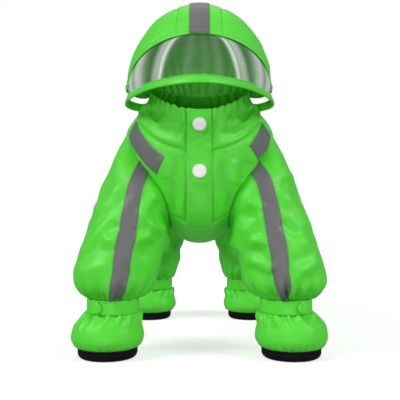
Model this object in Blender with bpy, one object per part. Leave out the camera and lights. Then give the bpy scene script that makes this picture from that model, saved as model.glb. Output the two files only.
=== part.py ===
"""Dog rain suit: a body tube with four legs, rubber-soled boots, and a hood with a clear visor.

The suit stands on its four soles as if worn, empty. It faces -Y, +X is the wearer's left and +Z is up.
Lengths in the tables are millimetres and angles are degrees. Every cloth piece is a thin wall between two
grids of points: one on the garment's surface and one moved inwards by the cloth's thickness.
"""
import math

import bmesh
import bpy
import numpy as np

MM = 0.001
MIDDLE_Y = 17.3         # moves the box's middle to y = 0

CLOTH = 1.3             # thickness of the coated cloth
TAPE = 1.0              # thickness of the reflective tape
FILM = 1.0              # thickness of the clear visor
SEAM = 0.3              # gap between sewn pieces
TAPE_WIDTH = 20.0
PLACKET_WIDTH = 25.0

SIDES = {"left": 1, "right": -1}

# ----------------------------------------------------------------------------------------------------
# Tables

# Rings round the body, from the rear hem to the collar's top. low and high are the ring's lowest and
# highest points on the middle line. widest is how far up the ring its full width lies, lift raises its
# sides, and pinch narrows its lower half.
BODY = {
    #               low_y low_z high_y high_z half_w widest lift pinch
    "rear hem":     (176, 150, 206, 236, 50, 0.52, 0, 0.00),
    "rump":         (152, 139, 184, 262, 70, 0.55, 0, 0.00),
    "loin":         (92, 134, 112, 275, 77, 0.57, 0, 0.02),
    "waist":        (22, 131, 40, 279, 78, 0.58, 0, 0.04),
    "ribs":         (-42, 128, -4, 283, 80, 0.62, 0, 0.10),
    "brisket":      (-100, 126, -20, 285, 84, 0.66, 2, 0.20),
    "belly seam":   (-149, 145, -30, 286, 86, 0.62, 5, 0.28),
    "breast":       (-166, 184, -38, 287, 84, 0.56, 9, 0.15),
    "neck seam":    (-168, 223, -42, 288, 70, 0.46, 16, 0.00),
    "collar":       (-166, 247, -50, 295, 58, 0.44, 16, 0.00),
    "collar top":   (-161, 267, -56, 302, 54, 0.42, 14, 0.00),
}

# The holes that the legs are sewn into, an eighth of a turn apart: 0 is at the top, 90 at the rear, 180 at
# the inner side and 270 at the front. ring is a place along the body, girth an angle round it from the belly
# line.
ARMHOLE = {
    #     ring girth
    0:   (7.16, 84),
    45:  (6.00, 80),
    90:  (4.95, 61),
    135: (4.75, 43),
    180: (4.98, 32),
    225: (5.74, 29.5),
    270: (6.62, 34.5),
    315: (7.02, 57),
}
HIND_HOLE = {
    0:   (1.25, 84),
    45:  (0.68, 73),
    90:  (0.45, 52),
    135: (0.55, 34),
    180: (1.00, 24),
    225: (1.60, 26),
    270: (1.98, 46),
    315: (1.85, 70),
}

# Rings down a leg, from the hole to the ankle. out and in are the ring's ends away from and towards the
# other leg, yaw is how far out the ring's rear lies of its middle, and depth is half its length in Y.
SLEEVE = {
    #                 out_x  out_z   in_x   in_z   mid_y  depth yaw
    "shoulder":      (96.5, 217.0, 36.8, 135.5, -116, 45.0, 11),
    "upper arm":     (109.0, 186.0, 35.0, 126.5, -121, 45.0, 6),
    "elbow":         (119.5, 155.0, 36.5, 118.0, -125, 45.0, 2),
    "forearm":       (129.0, 124.0, 41.0, 108.0, -129, 45.0, 0),
    "lower arm":     (136.5, 99.0, 46.0, 95.0, -132, 44.5, 0),
    "above cuff":    (137.5, 84.0, 50.0, 83.0, -134, 42.5, 0),
    "gather":        (131.5, 74.0, 57.0, 73.5, -135, 36.5, 0),
    "strap top":     (121.9, 65.7, 68.1, 65.7, -135, 26.9, 0),
    "ankle":         (121.9, 57.5, 68.1, 57.5, -135, 26.9, 0),
}
TROUSER = {
    "thigh":         (87.0, 192.0, 26.5, 128.0, 131, 44.0, -5),
    "upper leg":     (99.0, 160.0, 27.0, 116.0, 133, 44.0, -2),
    "knee":          (108.0, 126.0, 28.5, 104.0, 134, 43.5, 0),
    "lower leg":     (113.5, 96.0, 31.0, 90.0, 135, 43.0, 0),
    "above cuff":    (112.0, 79.0, 35.0, 77.0, 135, 40.0, 0),
    "gather":        (106.0, 69.0, 39.0, 68.5, 135, 35.0, 0),
    "strap top":     (97.9, 61.2, 44.1, 61.2, 135, 26.9, 0),
    "ankle":         (97.9, 53.0, 44.1, 53.0, 135, 26.9, 0),
}

# Legs: where the foot and the ankle stand, and the height of the strap's middle.
LEGS = {
    #         foot_x ankle_x   y    strap_z
    "front": (101.0, 95.0, -135.0, 57.5),
    "hind":  (77.0, 71.0, 135.0, 53.0),
}

# A boot's outline from its sole seam to just under a strap 57.5 mm up. Above it the cloth runs straight up to
# the middle of the strap.
BOOT = {
    #             z    radius
    "sole seam": (12.3, 32.2),
    "pucker":    (16.0, 36.0),
    "low":       (22.0, 39.0),
    "widest":    (30.0, 40.0),
    "high":      (38.0, 38.3),
    "gather":    (44.5, 33.5),
    "strap":     (49.2, 26.9),
}
BOOT_GATHERS = {"pucker": 0.9, "high": 0.8, "gather": 1.7}      # depth of its gathers at those rings
UNDER_STRAP = 8.3               # from the strap's middle down to the boot's last ring below it
LEG_SHIFT = (34.0, 49.0)        # heights between which the boot leans from the foot's middle to the ankle's

# A sole's section, from the middle of its underside round to the middle of its inner floor.
SOLE = {
    #               radius  z
    "underside":   (27.5, 0.0),
    "curl":        (31.0, 2.0),
    "side":        (32.8, 6.0),
    "rim":         (33.0, 12.0),
    "inner rim":   (29.8, 12.0),
    "floor":       (29.0, 3.2),
}

# Hoops over the hood, from its front edge to the back of the head. Each arches from a base at either side
# to a top on the middle line.
HOOD = {
    #               half_w base_y base_z top_y top_z
    "front edge":  (75.4, -152, 291, -200, 336),
    "brow":        (79.0, -140, 292, -172, 371),
    "crown":       (80.0, -127, 292, -130, 388),
    "rear crown":  (77.0, -115, 292, -88, 376),
    "nape":        (69.0, -106, 291, -62, 344),
}
HOOD_REAR_RING = (9.25, 9.80)       # where the hood's rear edge lies on the collar: its ends, its middle
HOOD_REAR_GIRTH = 100
HOOD_WAVE = 0.3                     # depth of the collar's gathers under the hood

# The visor's lower rim, from the middle of the face round one side to the collar.
RIM = {
    #             x    y     z
    "front":     (0, -239, 282.5),
    "quarter":   (38, -219, 282.5),
    "cheek":     (62, -185, 282.5),
    "corner":    (76, -152, 282.3),
    "widest":    (80.5, -127, 281.5),
    "behind":    (77.5, -111, 281.0),
    "inward":    (71, -102, 280.6),
    "at collar": (67.9, -99.4, 280.6),
}
RIM_HEIGHT = 9.0
RIM_THICKNESS = 3.2
RIM_MIDDLE = (0, -150, 282)
BINDING_SIDES = 8
VISOR_BULGE = 1.5
VISOR_RISE = 0.6                # keeps the film's inner edge clear of the binding, which it leans over
VISOR_ROWS = 4

# Soft folds. along is a ring's number and turn goes round the ring, the girth on the body. length and
# width are half sizes in the same units, and lean is the turn that the fold makes in one ring.
BODY_FOLDS = {
    #                      along turn length width lean depth
    "beside placket left":  (7.0, 20, 0.9, 6, -3, -2.8),
    "beside placket right": (6.9, -21, 0.8, 6, 3, -2.6),
    "breast left":          (6.7, 36, 0.5, 7, 8, -2.0),
    "breast right":         (6.6, -34, 0.6, 7, -6, -2.2),
    "saddle":               (4.7, 168, 0.4, 40, 10, -2.6),
    "ribs left":            (3.9, 118, 0.4, 26, -14, -3.0),
    "ribs right":           (4.1, -112, 0.4, 30, 18, -2.8),
    "loin":                 (2.7, -160, 0.4, 44, -8, -2.8),
    "flank left":           (3.0, 96, 0.4, 22, 16, -2.4),
    "belly left":           (4.2, 18, 0.4, 22, 6, -2.2),
    "belly right":          (3.1, -16, 0.4, 24, -8, -2.4),
}
SLEEVE_FOLDS = {
    #               along turn length width lean depth
    "elbow front": (3.3, 300, 0.9, 16, 38, -3.8),
    "elbow side":  (3.9, 345, 1.0, 15, 30, -3.4),
    "upper front": (1.9, 315, 0.8, 15, 34, -2.8),
    "upper side":  (2.2, 15, 0.9, 16, -26, -3.2),
    "lower inner": (4.7, 235, 0.8, 15, -30, -3.0),
    "rear":        (3.2, 80, 1.0, 17, 30, -3.8),
    "rear low":    (4.4, 120, 0.8, 16, -28, -3.2),
}
TROUSER_FOLDS = {
    "knee front":  (2.7, 285, 0.8, 17, 34, -3.4),
    "knee side":   (2.4, 340, 0.9, 17, -30, -3.2),
    "rear":        (3.0, 85, 0.8, 17, 30, -3.4),
    "inner":       (3.3, 200, 0.7, 16, -26, -2.6),
}

# The tape down each sleeve: its middle's turn at places along the sleeve.
SLEEVE_TAPES = {
    #         armhole  shoulder  elbow  cuff   ankle
    "along": (0.0,     1.0,      3.0,   6.0,   9.0),
    "right": (304.0,   290.0,    270.0, 262.0, 258.0),
    "left":  (304.0,   293.0,    275.0, 266.0, 261.0),
}
SLEEVE_COLUMNS = 24
TAPE_COLUMN = 18                # the sleeve's column in the middle of its tape
SIDE_SEAM_COLUMN = 7            # where the side seam and the belly seam meet the armhole
BELLY_SEAM_COLUMN = 14
TROUSER_COLUMNS = 20
BOOT_COLUMNS = 20
SOLE_COLUMNS = 24

# The tape on each shoulder: its corners' places on the body, as ring and girth.
SHOULDER_TAPES = {
    # wearer's   outer top      outer low      inner low      inner top
    "right": ((7.34, 78.5), (7.05, 36.5), (7.62, 29.5), (7.93, 71.0)),
    "left":  ((7.34, 79.5), (7.21, 55.5), (7.72, 46.5), (7.92, 74.0)),
}

SHOULDER_TAPE_RISE = 0.9        # clear of the flat faces of the front that they lie across
SHOULDER_TAPE_GRID = (6, 4)

SNAP_RADIUS = 7.4
SNAP_RINGS = {"snap_upper": 9.15, "snap_lower": 7.43}
STRAP_SNAP_RADIUS = 6.5
SNAP_PROFILE = ((1.0, 0.0), (1.0, 0.45), (0.86, 0.78), (0.55, 0.95))     # share of radius, share of height
SNAP_HEIGHT = 2.6
SNAP_COLUMNS = 16

STRAP_HEIGHT = 15.0
STRAP_INNER = 27.4
STRAP_CLOTH = 1.4
STRAP_SNAP_TURN = 27.0      # round the ankle from the front, outwards
STRAP_OVERLAP = 44.0
STRAP_RISE = (300.0, 356.0)     # turns round the band between which its end climbs over its start
STRAP_COLUMNS = (16, 6)         # columns before the climb and from its first part on
STRAP_SECOND_RUN = 318.0        # where those columns begin

COLOURS = {
    #            red    green  blue   rough
    "cloth":    (0.120, 0.720, 0.075, 0.42),
    "tape":     (0.200, 0.200, 0.205, 0.45),
    "film":     (0.780, 0.860, 0.790, 0.08),
    "rubber":   (0.008, 0.008, 0.008, 0.60),
    "snap":     (0.800, 0.780, 0.800, 0.35),
}
FILM_ALPHA = 0.35
SHARP_EDGE = math.radians(50)


# ----------------------------------------------------------------------------------------------------
# Curves and surfaces

def rows(table):
    return np.array(list(table.values()), float)


def blend_four(before, start, end, after, t):
    """Catmull-Rom curve between start and end."""
    return 0.5 * (2 * start + (end - before) * t + (2 * before - 5 * start + 4 * end - after) * t ** 2
                  + (3 * start - before - 3 * end + after) * t ** 3)


def spline(controls, place):
    """A curve down each column of a stack of grids, read at that column's own row number."""
    low = np.clip(np.floor(place).astype(int), 0, len(controls) - 2)
    padded = np.concatenate([2 * controls[:1] - controls[1:2], controls, 2 * controls[-1:] - controls[-2:-1]])
    four = [np.take_along_axis(padded, (low + k)[None, ..., None], 0)[0] for k in range(4)]
    return blend_four(*four, (place - low)[..., None])


def table_spline(table, place):
    """A table's columns, read between its rows at the row numbers in place."""
    place = np.asarray(place, float)
    points = rows(table)
    stack = points.reshape(len(points), *(1,) * place.ndim, -1)
    return spline(np.broadcast_to(stack, (len(points), *place.shape, points.shape[1])), place)


def closed_spline(table, turn):
    """A closed curve through a table's rows, equally spaced round a turn, read at an angle in degrees."""
    points = rows(table)
    place = np.asarray(turn, float) % 360 / 360 * len(points)
    low = np.floor(place).astype(int) % len(points)
    padded = np.concatenate([points[-1:], points, points[:3]])
    return blend_four(*(padded[low + k] for k in range(4)), (place - np.floor(place))[..., None])


def smooth(value, start, end):
    t = np.clip((value - start) / (end - start), 0, 1)
    return t * t * (3 - 2 * t)


NORMAL_STEP = (0.01, 0.5)       # how far apart a surface is read, each way, to find its normal


def skin(surface, u, v, out):
    """Points on surface(u, v) moved out along its normal, which is the cross of its two directions."""
    u, v, out = np.broadcast_arrays(np.asarray(u, float), v, out)
    step_u, step_v = NORMAL_STEP
    along = surface(u + step_u, v) - surface(u - step_u, v)
    across = surface(u, v + step_v) - surface(u, v - step_v)
    normal = np.cross(across, along)
    normal /= np.linalg.norm(normal, axis=-1, keepdims=True)
    return surface(u, v) + normal * out[..., None]


RING = {name: number for number, name in enumerate(BODY)}


def body(ring, girth):
    """The body tube. girth is 0 on the belly line and 180 on the back line, positive on the wearer's left."""
    ring, girth = np.broadcast_arrays(np.asarray(ring, float), girth)
    low_y, low_z, high_y, high_z, half, widest, lift, pinch = np.moveaxis(table_spline(BODY, ring), -1, 0)
    across = np.sin(np.radians(girth))
    down = np.cos(np.radians(girth))
    climb = np.where(down > 0, widest * (1 - down), widest - (1 - widest) * down)
    x = half * across * (1 - pinch * np.maximum(down, 0) ** 2)
    y = low_y + climb * (high_y - low_y)
    z = low_z + climb * (high_z - low_z) + lift * across ** 2
    return np.stack([x, y, z], -1)


def body_girth(ring, x):
    """The girth, on the belly's side, at which a ring is x from the middle plane."""
    half, pinch = np.moveaxis(table_spline(BODY, ring)[..., [4, 7]], -1, 0)
    return np.degrees(np.arcsin(x / (half * (1 - pinch))))


def leg_surface(hole, table, side):
    """A leg's surface: a spline down each of its columns, from its hole in the body to its ankle."""
    ring = rows(table)
    outer = np.stack([ring[:, 0], ring[:, 4], ring[:, 1]], -1)
    inner = np.stack([ring[:, 2], ring[:, 4], ring[:, 3]], -1)
    across = np.stack([ring[:, 6], ring[:, 5], 0 * ring[:, 5]], -1)

    def surface(along, turn):
        along, turn = np.broadcast_arrays(np.asarray(along, float), turn)
        place = closed_spline(hole, turn)
        angle = np.radians(turn)[..., None]
        hoops = [middle + half * np.cos(angle) + side_half * np.sin(angle)
                 for middle, half, side_half in zip((outer + inner) / 2, (outer - inner) / 2, across)]
        controls = np.stack([body(place[..., 0], place[..., 1])] + hoops)
        return spline(controls, along) * np.array([side, 1, 1])
    return surface


def fold_depth(folds, along, turn):
    """Soft troughs: each falls off evenly along its length and across its width, and leans round the ring."""
    total = np.zeros(np.broadcast_shapes(np.shape(along), np.shape(turn)))
    for at, around, length, width, lean, depth in folds.values():
        apart = (turn - around - lean * (along - at) + 180) % 360 - 180
        total = total + depth * np.exp(-((along - at) / length) ** 2 - (apart / width) ** 2)
    return total


def hoop(number, angle):
    """The hood's hoops, splined from front to back. angle is 0 on the crown line and 90 at the base."""
    number, angle = np.broadcast_arrays(np.asarray(number, float), angle)
    across, up = np.sin(np.radians(angle)), np.cos(np.radians(angle))
    arches = [np.stack([half * across, base_y + (top_y - base_y) * up, base_z + (top_z - base_z) * up], -1)
              for half, base_y, base_z, top_y, top_z in rows(HOOD)]
    ring = HOOD_REAR_RING[1] - (HOOD_REAR_RING[1] - HOOD_REAR_RING[0]) * across ** 2
    girth = 180 - angle * (180 - HOOD_REAR_GIRTH) / 90
    arches.append(skin(body, ring, girth, CLOTH + SEAM + HOOD_WAVE))
    return spline(np.stack(arches), number)


# ----------------------------------------------------------------------------------------------------
# Meshes

def material(name):
    red, green, blue, roughness = COLOURS[name]
    found = bpy.data.materials.get(name)
    if found is None:
        found = bpy.data.materials.new(name)
        found.use_nodes = True
        shader = found.node_tree.nodes["Principled BSDF"]
        shader.inputs["Base Color"].default_value = (red, green, blue, 1)
        shader.inputs["Roughness"].default_value = roughness
        shader.inputs["Alpha"].default_value = FILM_ALPHA if name == "film" else 1
    return found


def add_solid(name, points, faces, finish):
    mesh = bpy.data.meshes.new(name)
    placed = (np.asarray(points) + (0, MIDDLE_Y, 0)) * MM
    mesh.from_pydata(placed.tolist(), [], [tuple(int(k) for k in face) for face in faces])
    work = bmesh.new()
    work.from_mesh(mesh)
    bmesh.ops.recalc_face_normals(work, faces=work.faces)
    work.to_mesh(mesh)
    work.free()
    mesh.shade_smooth()
    mesh.set_sharp_from_angle(angle=SHARP_EDGE)
    mesh.materials.append(material(finish))
    piece = bpy.data.objects.new(name, mesh)
    bpy.context.collection.objects.link(piece)
    return piece


def quads(numbers):
    """Faces between the neighbours of a grid of point numbers."""
    corners = (numbers[:-1, :-1], numbers[1:, :-1], numbers[1:, 1:], numbers[:-1, 1:])
    return np.stack([corner.ravel() for corner in corners], -1).tolist()


def turned(faces):
    """The faces seen from behind, still split along the same diagonal."""
    return [[a, d, c, b] for a, b, c, d in faces]


def add_wall(name, outer, inner, finish, tube=False):
    """A closed wall between two grids of points. A tube's grid meets itself round its second direction."""
    down, round_ = outer.shape[:2]
    first = np.arange(down * round_).reshape(down, round_)
    second = first + first.size
    if tube:
        first, second = (np.concatenate([grid, grid[:, :1]], 1) for grid in (first, second))
    faces = quads(first) + turned(quads(second))
    for start, end in ((first[0], second[0]), (second[-1], first[-1])):
        faces += quads(np.stack([start, end]))
    if not tube:
        for start, end in ((second[:, 0], first[:, 0]), (first[:, -1], second[:, -1])):
            faces += quads(np.stack([start, end]))
    points = np.concatenate([outer.reshape(-1, 3), inner.reshape(-1, 3)])
    return add_solid(name, points, faces, finish)


def add_stack(name, rings, finish):
    """A closed solid through a stack of closed rings of points, capped at both ends."""
    numbers = np.arange(rings.size // 3).reshape(rings.shape[:2])
    faces = quads(np.concatenate([numbers, numbers[:, :1]], 1))
    faces += [numbers[0].tolist(), numbers[-1][::-1].tolist()]
    return add_solid(name, rings.reshape(-1, 3), faces, finish)


def draw_in(grid, edges, tube=False):
    """Moves the named edges of a grid inwards over the surface, by half the gap at a seam."""
    grid = grid.copy()
    views = {"first": grid, "last": grid[::-1], "low": grid.swapaxes(0, 1), "high": grid.swapaxes(0, 1)[::-1]}
    for edge in edges:
        view = views[edge]
        if tube:
            run = np.roll(view[0], -1, 0) - np.roll(view[0], 1, 0)
        else:
            run = np.gradient(view[0], axis=0)
        run = run / np.linalg.norm(run, axis=-1, keepdims=True)
        inward = view[1] - view[0]
        inward = inward - (inward * run).sum(-1, keepdims=True) * run
        view[0] = view[0] + SEAM / 2 * inward / np.linalg.norm(inward, axis=-1, keepdims=True)
    return grid


FOLD_MARGIN = 0.3               # share of a panel in which its folds die out towards its sewn edges


def inside(shape, edges):
    """1 inside a grid, falling to 0 at the named edges."""
    down = np.linspace(0, 1, shape[0])[:, None] + np.zeros(shape)
    over = np.linspace(0, 1, shape[1]) + np.zeros(shape)
    share = {"first": down, "last": 1 - down, "low": over, "high": 1 - over}
    return math.prod(smooth(share[edge], 0, FOLD_MARGIN) for edge in edges)


def add_panel(name, surface, u, v, edges, finish="cloth", out=0.0, thickness=CLOTH, lift=0.0):
    """A wall on surface(u, v), its outer side out of it by out, drawn in along the edges that are sewn."""
    outer, inner = (draw_in(skin(surface, u, v, lift + side), edges) for side in (out, out - thickness))
    return add_wall(name, outer, inner, finish)


# ----------------------------------------------------------------------------------------------------
# The body: belly, back, fronts, collar and placket

ACROSS = 6                       # columns from the middle line to a panel's outer edge
TO_NECK = 3                      # rows from the armhole's top to the neck seam
SIDE_ROWS = 8                    # rows between the armhole and the hind leg's hole
HEM_ROWS = 2
COLLAR_RINGS = np.array([8, 8.6, 9.2, 9.65, 10.0])
NECK_FRONT_GIRTH = 80.0          # where the shoulder seam meets the neck
SIDE_SEAM_GIRTH = 50.0
COLLAR_WAVE = 0.9                # depth of the collar's gathers at the front


def armhole_turns():
    """The armhole's turns at the sleeve's columns, the tape's edges among them, closed by the first one."""
    half = math.degrees(TAPE_WIDTH / 2 / rows(SLEEVE)[0, 5])
    turns = column_turns(SLEEVE_COLUMNS, SLEEVE_TAPES["right"][0], half)
    return np.append(turns, 360.0)


def column_turns(columns, middle, half):
    """Turns of a leg's columns, spaced evenly on either side of a tape."""
    known = (0, TAPE_COLUMN - 1, TAPE_COLUMN, TAPE_COLUMN + 1, columns)
    return np.interp(np.arange(columns), known, (0, middle - half, middle, middle + half, 360))


def chain(*runs):
    """Joins runs of (ring, girth) places end to end, dropping the point that two of them share."""
    return np.concatenate([runs[0]] + [run[1:] for run in runs[1:]])


def body_edges():
    """The outer edges of the half panels, as places on the body."""
    armhole = closed_spline(ARMHOLE, armhole_turns())
    behind = armhole[SIDE_SEAM_COLUMN::-1]
    under = armhole[SIDE_SEAM_COLUMN:BELLY_SEAM_COLUMN + 1]
    front = armhole[BELLY_SEAM_COLUMN:]
    half_turn = np.arange(TROUSER_COLUMNS // 2 + 1) * 360 / TROUSER_COLUMNS
    lower = closed_spline(HIND_HOLE, 90 + half_turn)
    upper = closed_spline(HIND_HOLE, 90 - half_turn)
    hem = np.linspace((RING["rear hem"], SIDE_SEAM_GIRTH), lower[0], HEM_ROWS + 1)
    side = np.linspace(lower[-1], under[0], SIDE_ROWS + 1)
    shoulder = np.linspace(front[-1], (RING["neck seam"], NECK_FRONT_GIRTH), TO_NECK + 1)
    return {
        "belly": chain(hem, lower, side, under),
        "back": chain(hem, upper, side, behind, shoulder),
        "front": chain(front, shoulder),
    }


def half_columns(edge, first, last, middle):
    """Places between the middle line, at girth middle, and a panel's outer edge.

    On the middle line the rows run from the ring first to the ring last, spaced as they are along the edge.
    On the belly's side the first column is as wide as the placket.
    """
    steps = np.linalg.norm(np.diff(body(edge[:, 0], edge[:, 1]), axis=0), axis=-1)
    line = first + (last - first) * np.append(0, np.cumsum(steps)) / steps.sum()
    share = np.linspace(0, 1, ACROSS + 1)
    ring = line[:, None] + (edge[:, :1] - line[:, None]) * share
    if middle:
        return ring, middle + (edge[:, 1:] - middle) * share
    narrow = body_girth(ring[:, 1:2], PLACKET_WIDTH / 2)
    rest = narrow + (edge[:, 1:] - narrow) * (share[1:] - share[1]) / (1 - share[1])
    return ring, np.concatenate([0 * narrow, rest], 1)


def whole(half, middle):
    """Joins a half panel's places with their mirror image."""
    ring, girth = half
    mirrored = 2 * middle - girth
    return np.concatenate([ring[:, :0:-1], ring], 1), np.concatenate([mirrored[:, :0:-1], girth], 1)


def front_places():
    return half_columns(body_edges()["front"], RING["belly seam"], RING["neck seam"], 0)


def make_body():
    edges = body_edges()
    belly = half_columns(edges["belly"], RING["rear hem"], RING["belly seam"], 0)
    back = half_columns(edges["back"], RING["rear hem"], RING["neck seam"], 180)
    for name, half, middle in (("belly", belly, 0), ("back", back, 180)):
        ring, girth = whole(half, middle)
        sewn = ("last", "low", "high")
        folds = fold_depth(BODY_FOLDS, ring, girth) * inside(ring.shape, sewn)
        add_panel(name, body, ring, girth, sewn, lift=folds)
    ring, girth = front_places()
    for side, sign in SIDES.items():
        folds = fold_depth(BODY_FOLDS, ring, sign * girth) * inside(ring.shape, ("first", "last", "high"))
        add_panel(f"chest_{side}", body, ring, sign * girth, ("first", "last", "low", "high"), lift=folds)


def collar_girths():
    """The neck seam's columns, which the fronts and the back share with the collar."""
    front = front_places()[1][-1]
    return np.concatenate([front, np.linspace(front[-1], 180, ACROSS + 1)[1:]])


def collar_gathers(ring, count):
    """Small waves that the elastic pulls along the collar's top: none at the placket, low under the hood."""
    column = np.arange(count)
    wave = np.where(column % 2 == 0, 1.0, -1.0) * (column > 1) * (column < count - 1)
    depth = np.interp(column, (ACROSS, ACROSS + 3), (COLLAR_WAVE, HOOD_WAVE))
    return depth * smooth(ring, COLLAR_RINGS[1], COLLAR_RINGS[-1]) * wave


def make_collar():
    columns = collar_girths()
    ring, girth = np.meshgrid(COLLAR_RINGS, columns, indexing="ij")
    girth[:, 1] = body_girth(COLLAR_RINGS, PLACKET_WIDTH / 2)
    lift = collar_gathers(ring, len(columns))
    for side, sign in SIDES.items():
        add_panel(f"collar_{side}", body, ring, sign * girth, ("first", "low", "high"), lift=lift)


def make_placket():
    """The strip that closes the front, over both halves, made from their own points moved out."""
    line = np.concatenate([front_places()[0][:, 0], COLLAR_RINGS[1:]])
    edge = body_girth(line, PLACKET_WIDTH / 2)
    girth = np.stack([-edge, 0 * edge, edge], 1)
    add_panel("placket", body, np.repeat(line[:, None], 3, 1), girth, ("first",), out=SEAM + CLOTH)


def make_shoulder_tapes():
    for side, corners in SHOULDER_TAPES.items():
        outer_top, outer_low, inner_low, inner_top = (np.array(corner) for corner in corners)
        down = np.linspace(0, 1, SHOULDER_TAPE_GRID[0])[:, None, None]
        over = np.linspace(0, 1, SHOULDER_TAPE_GRID[1])[None, :, None]
        places = ((outer_top * (1 - down) + outer_low * down) * (1 - over)
                  + (inner_top * (1 - down) + inner_low * down) * over)
        add_panel(f"tape_shoulder_{side}", body, places[..., 0], SIDES[side] * places[..., 1], (),
                  finish="tape", out=SHOULDER_TAPE_RISE + TAPE, thickness=TAPE)


# ----------------------------------------------------------------------------------------------------
# Legs

GATHER_DEPTH = 2.5
GATHER_FADE = (3.2, 1.2)        # rings above the strap between which the gathers grow to their full depth
GATHER_START = (0.02, 0.9)      # and between which they die out again towards the strap
CAP_STEP = 1.5                  # how far the sleeve's edge stands over the front, most at the turn CAP_TURN
CAP_TURN = 342.0
CAP_FADE = (16.0, 40.0)         # turns away from there between which the step dies out
CAP_LENGTH = 0.8                # ring by which it has died out down the sleeve
FOLD_START = 1.2                # ring by which a leg's folds have their full depth


def leg_turns(columns, along, depth, tape):
    """Turns of a leg's columns, a row for each place along it."""
    if tape is None:
        return np.repeat(np.arange(columns)[None] * 360 / columns, len(along), 0)
    middle = np.interp(along, SLEEVE_TAPES["along"], tape)
    half = np.degrees(TAPE_WIDTH / 2 / depth)
    return np.array([column_turns(columns, *pair) for pair in zip(middle, half)])


def gather_lift(along, columns, rings):
    """Waves that the strap gathers, deepest just above it and gone at the strap and higher up the leg."""
    above_strap = rings - 1 - along
    envelope = smooth(above_strap, *GATHER_FADE) * smooth(above_strap, *GATHER_START)
    wave = np.cos(np.arange(columns) * math.pi)
    return GATHER_DEPTH * envelope[:, None] * wave


def cap_lift(along, turn):
    """How far the sleeve's edge stands over the front, where the two leave their seam close together."""
    apart = np.abs((turn - CAP_TURN + 180) % 360 - 180)
    return CAP_STEP * (1 - smooth(along, 0, CAP_LENGTH)) * (1 - smooth(apart, *CAP_FADE))


LEG_ROWS = {
    "sleeve": np.array([0, 0.5, 1, 2, 3, 4, 5, 5.6, 6.3, 7, 8, 9]),
    "hind_leg": np.array([0, 0.5, 1, 2, 3, 4, 5, 6, 7, 8]),
}


def make_legs():
    kinds = {
        "sleeve": (ARMHOLE, SLEEVE, SLEEVE_FOLDS, SLEEVE_COLUMNS),
        "hind_leg": (HIND_HOLE, TROUSER, TROUSER_FOLDS, TROUSER_COLUMNS),
    }
    for kind, (hole, table, folds, columns) in kinds.items():
        along = LEG_ROWS[kind]
        depth = np.interp(along, np.arange(1, len(table) + 1), rows(table)[:, 5])
        gathers = gather_lift(along, columns, len(table))
        for side, sign in SIDES.items():
            turns = leg_turns(columns, along, depth, SLEEVE_TAPES[side] if kind == "sleeve" else None)
            lift = gathers + fold_depth(folds, along[:, None], turns) * smooth(along, 0, FOLD_START)[:, None]
            if kind == "sleeve":
                lift = lift + cap_lift(along[:, None], turns)
            surface = leg_surface(hole, table, sign)

            def grid(out):
                return skin(surface, along[:, None], turns, -sign * (out + lift))
            walls = [draw_in(grid(out), ("first", "last"), True) for out in (0, -CLOTH)]
            add_wall(f"{kind}_{side}", *walls, "cloth", tube=True)
            if kind == "sleeve":
                under_tape = (slice(0, -2), slice(TAPE_COLUMN - 1, TAPE_COLUMN + 2))
                strip = [draw_in(grid(out)[under_tape], ("first", "last")) for out in (SEAM + TAPE, SEAM)]
                add_wall(f"tape_leg_{side}", *strip, "tape")


# ----------------------------------------------------------------------------------------------------
# Boots, soles and straps

def ring_of(x, y, z, radius, turn):
    angle = np.radians(turn)
    return np.stack([x + radius * np.cos(angle), y + radius * np.sin(angle), z + 0 * angle], -1)


def make_boot(name, foot_x, ankle_x, y, strap_z):
    outline = rows(BOOT)
    shift = smooth(outline[:, 0], *LEG_SHIFT)
    scale = (strap_z - UNDER_STRAP - outline[0, 0]) / (outline[-1, 0] - outline[0, 0])
    heights = outline[0, 0] + (outline[:, 0] - outline[0, 0]) * scale
    turn = np.arange(BOOT_COLUMNS) * 360 / BOOT_COLUMNS
    wave = np.cos(np.arange(BOOT_COLUMNS) * math.pi)
    grids = []
    for inwards in (0, CLOTH):
        rings = [ring_of(foot_x + (ankle_x - foot_x) * shift[k], y, heights[k],
                         outline[k, 1] - inwards + BOOT_GATHERS.get(place, 0) * wave, turn)
                 for k, place in enumerate(BOOT)]
        rings.append(ring_of(ankle_x, y, strap_z, outline[-1, 1] - inwards, turn))
        grids.append(draw_in(np.array(rings), ("last",), True))
    add_wall(f"boot_{name}", *grids, "cloth", tube=True)


def make_sole(name, x, y):
    outline = rows(SOLE)
    turn = np.arange(SOLE_COLUMNS) * 360 / SOLE_COLUMNS
    rings = np.array([ring_of(x, y, z, radius, turn) for radius, z in outline])
    add_stack(f"sole_{name}", rings, "rubber")


def make_strap(name, ankle_x, y, strap_z, sign):
    """A band once round the ankle, with its free end lapped over its start and held there by a snap."""
    lap = STRAP_CLOTH + SEAM
    sweep = np.concatenate([np.linspace(0, STRAP_RISE[0], STRAP_COLUMNS[0]),
                            np.linspace(STRAP_SECOND_RUN, 360 + STRAP_OVERLAP, STRAP_COLUMNS[1])])
    radius = STRAP_INNER + lap * smooth(sweep, *STRAP_RISE)
    start = STRAP_SNAP_TURN + STRAP_OVERLAP / 2 - STRAP_OVERLAP
    angle = -90 + sign * (start + sweep)
    grids = []
    for out in (STRAP_CLOTH, 0):
        grids.append(np.stack([ring_of(ankle_x, y, strap_z + up, radius + out, angle)
                               for up in (-STRAP_HEIGHT / 2, STRAP_HEIGHT / 2)]))
    add_wall(f"strap_{name}", *grids, "cloth")
    outward = np.radians(-90 + sign * STRAP_SNAP_TURN)
    axis = np.array([math.cos(outward), math.sin(outward), 0])
    base = np.array([ankle_x, y, strap_z]) + axis * (STRAP_INNER + lap + STRAP_CLOTH + SEAM)
    add_snap(f"strap_snap_{name}", base, axis, STRAP_SNAP_RADIUS, "cloth")


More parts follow.
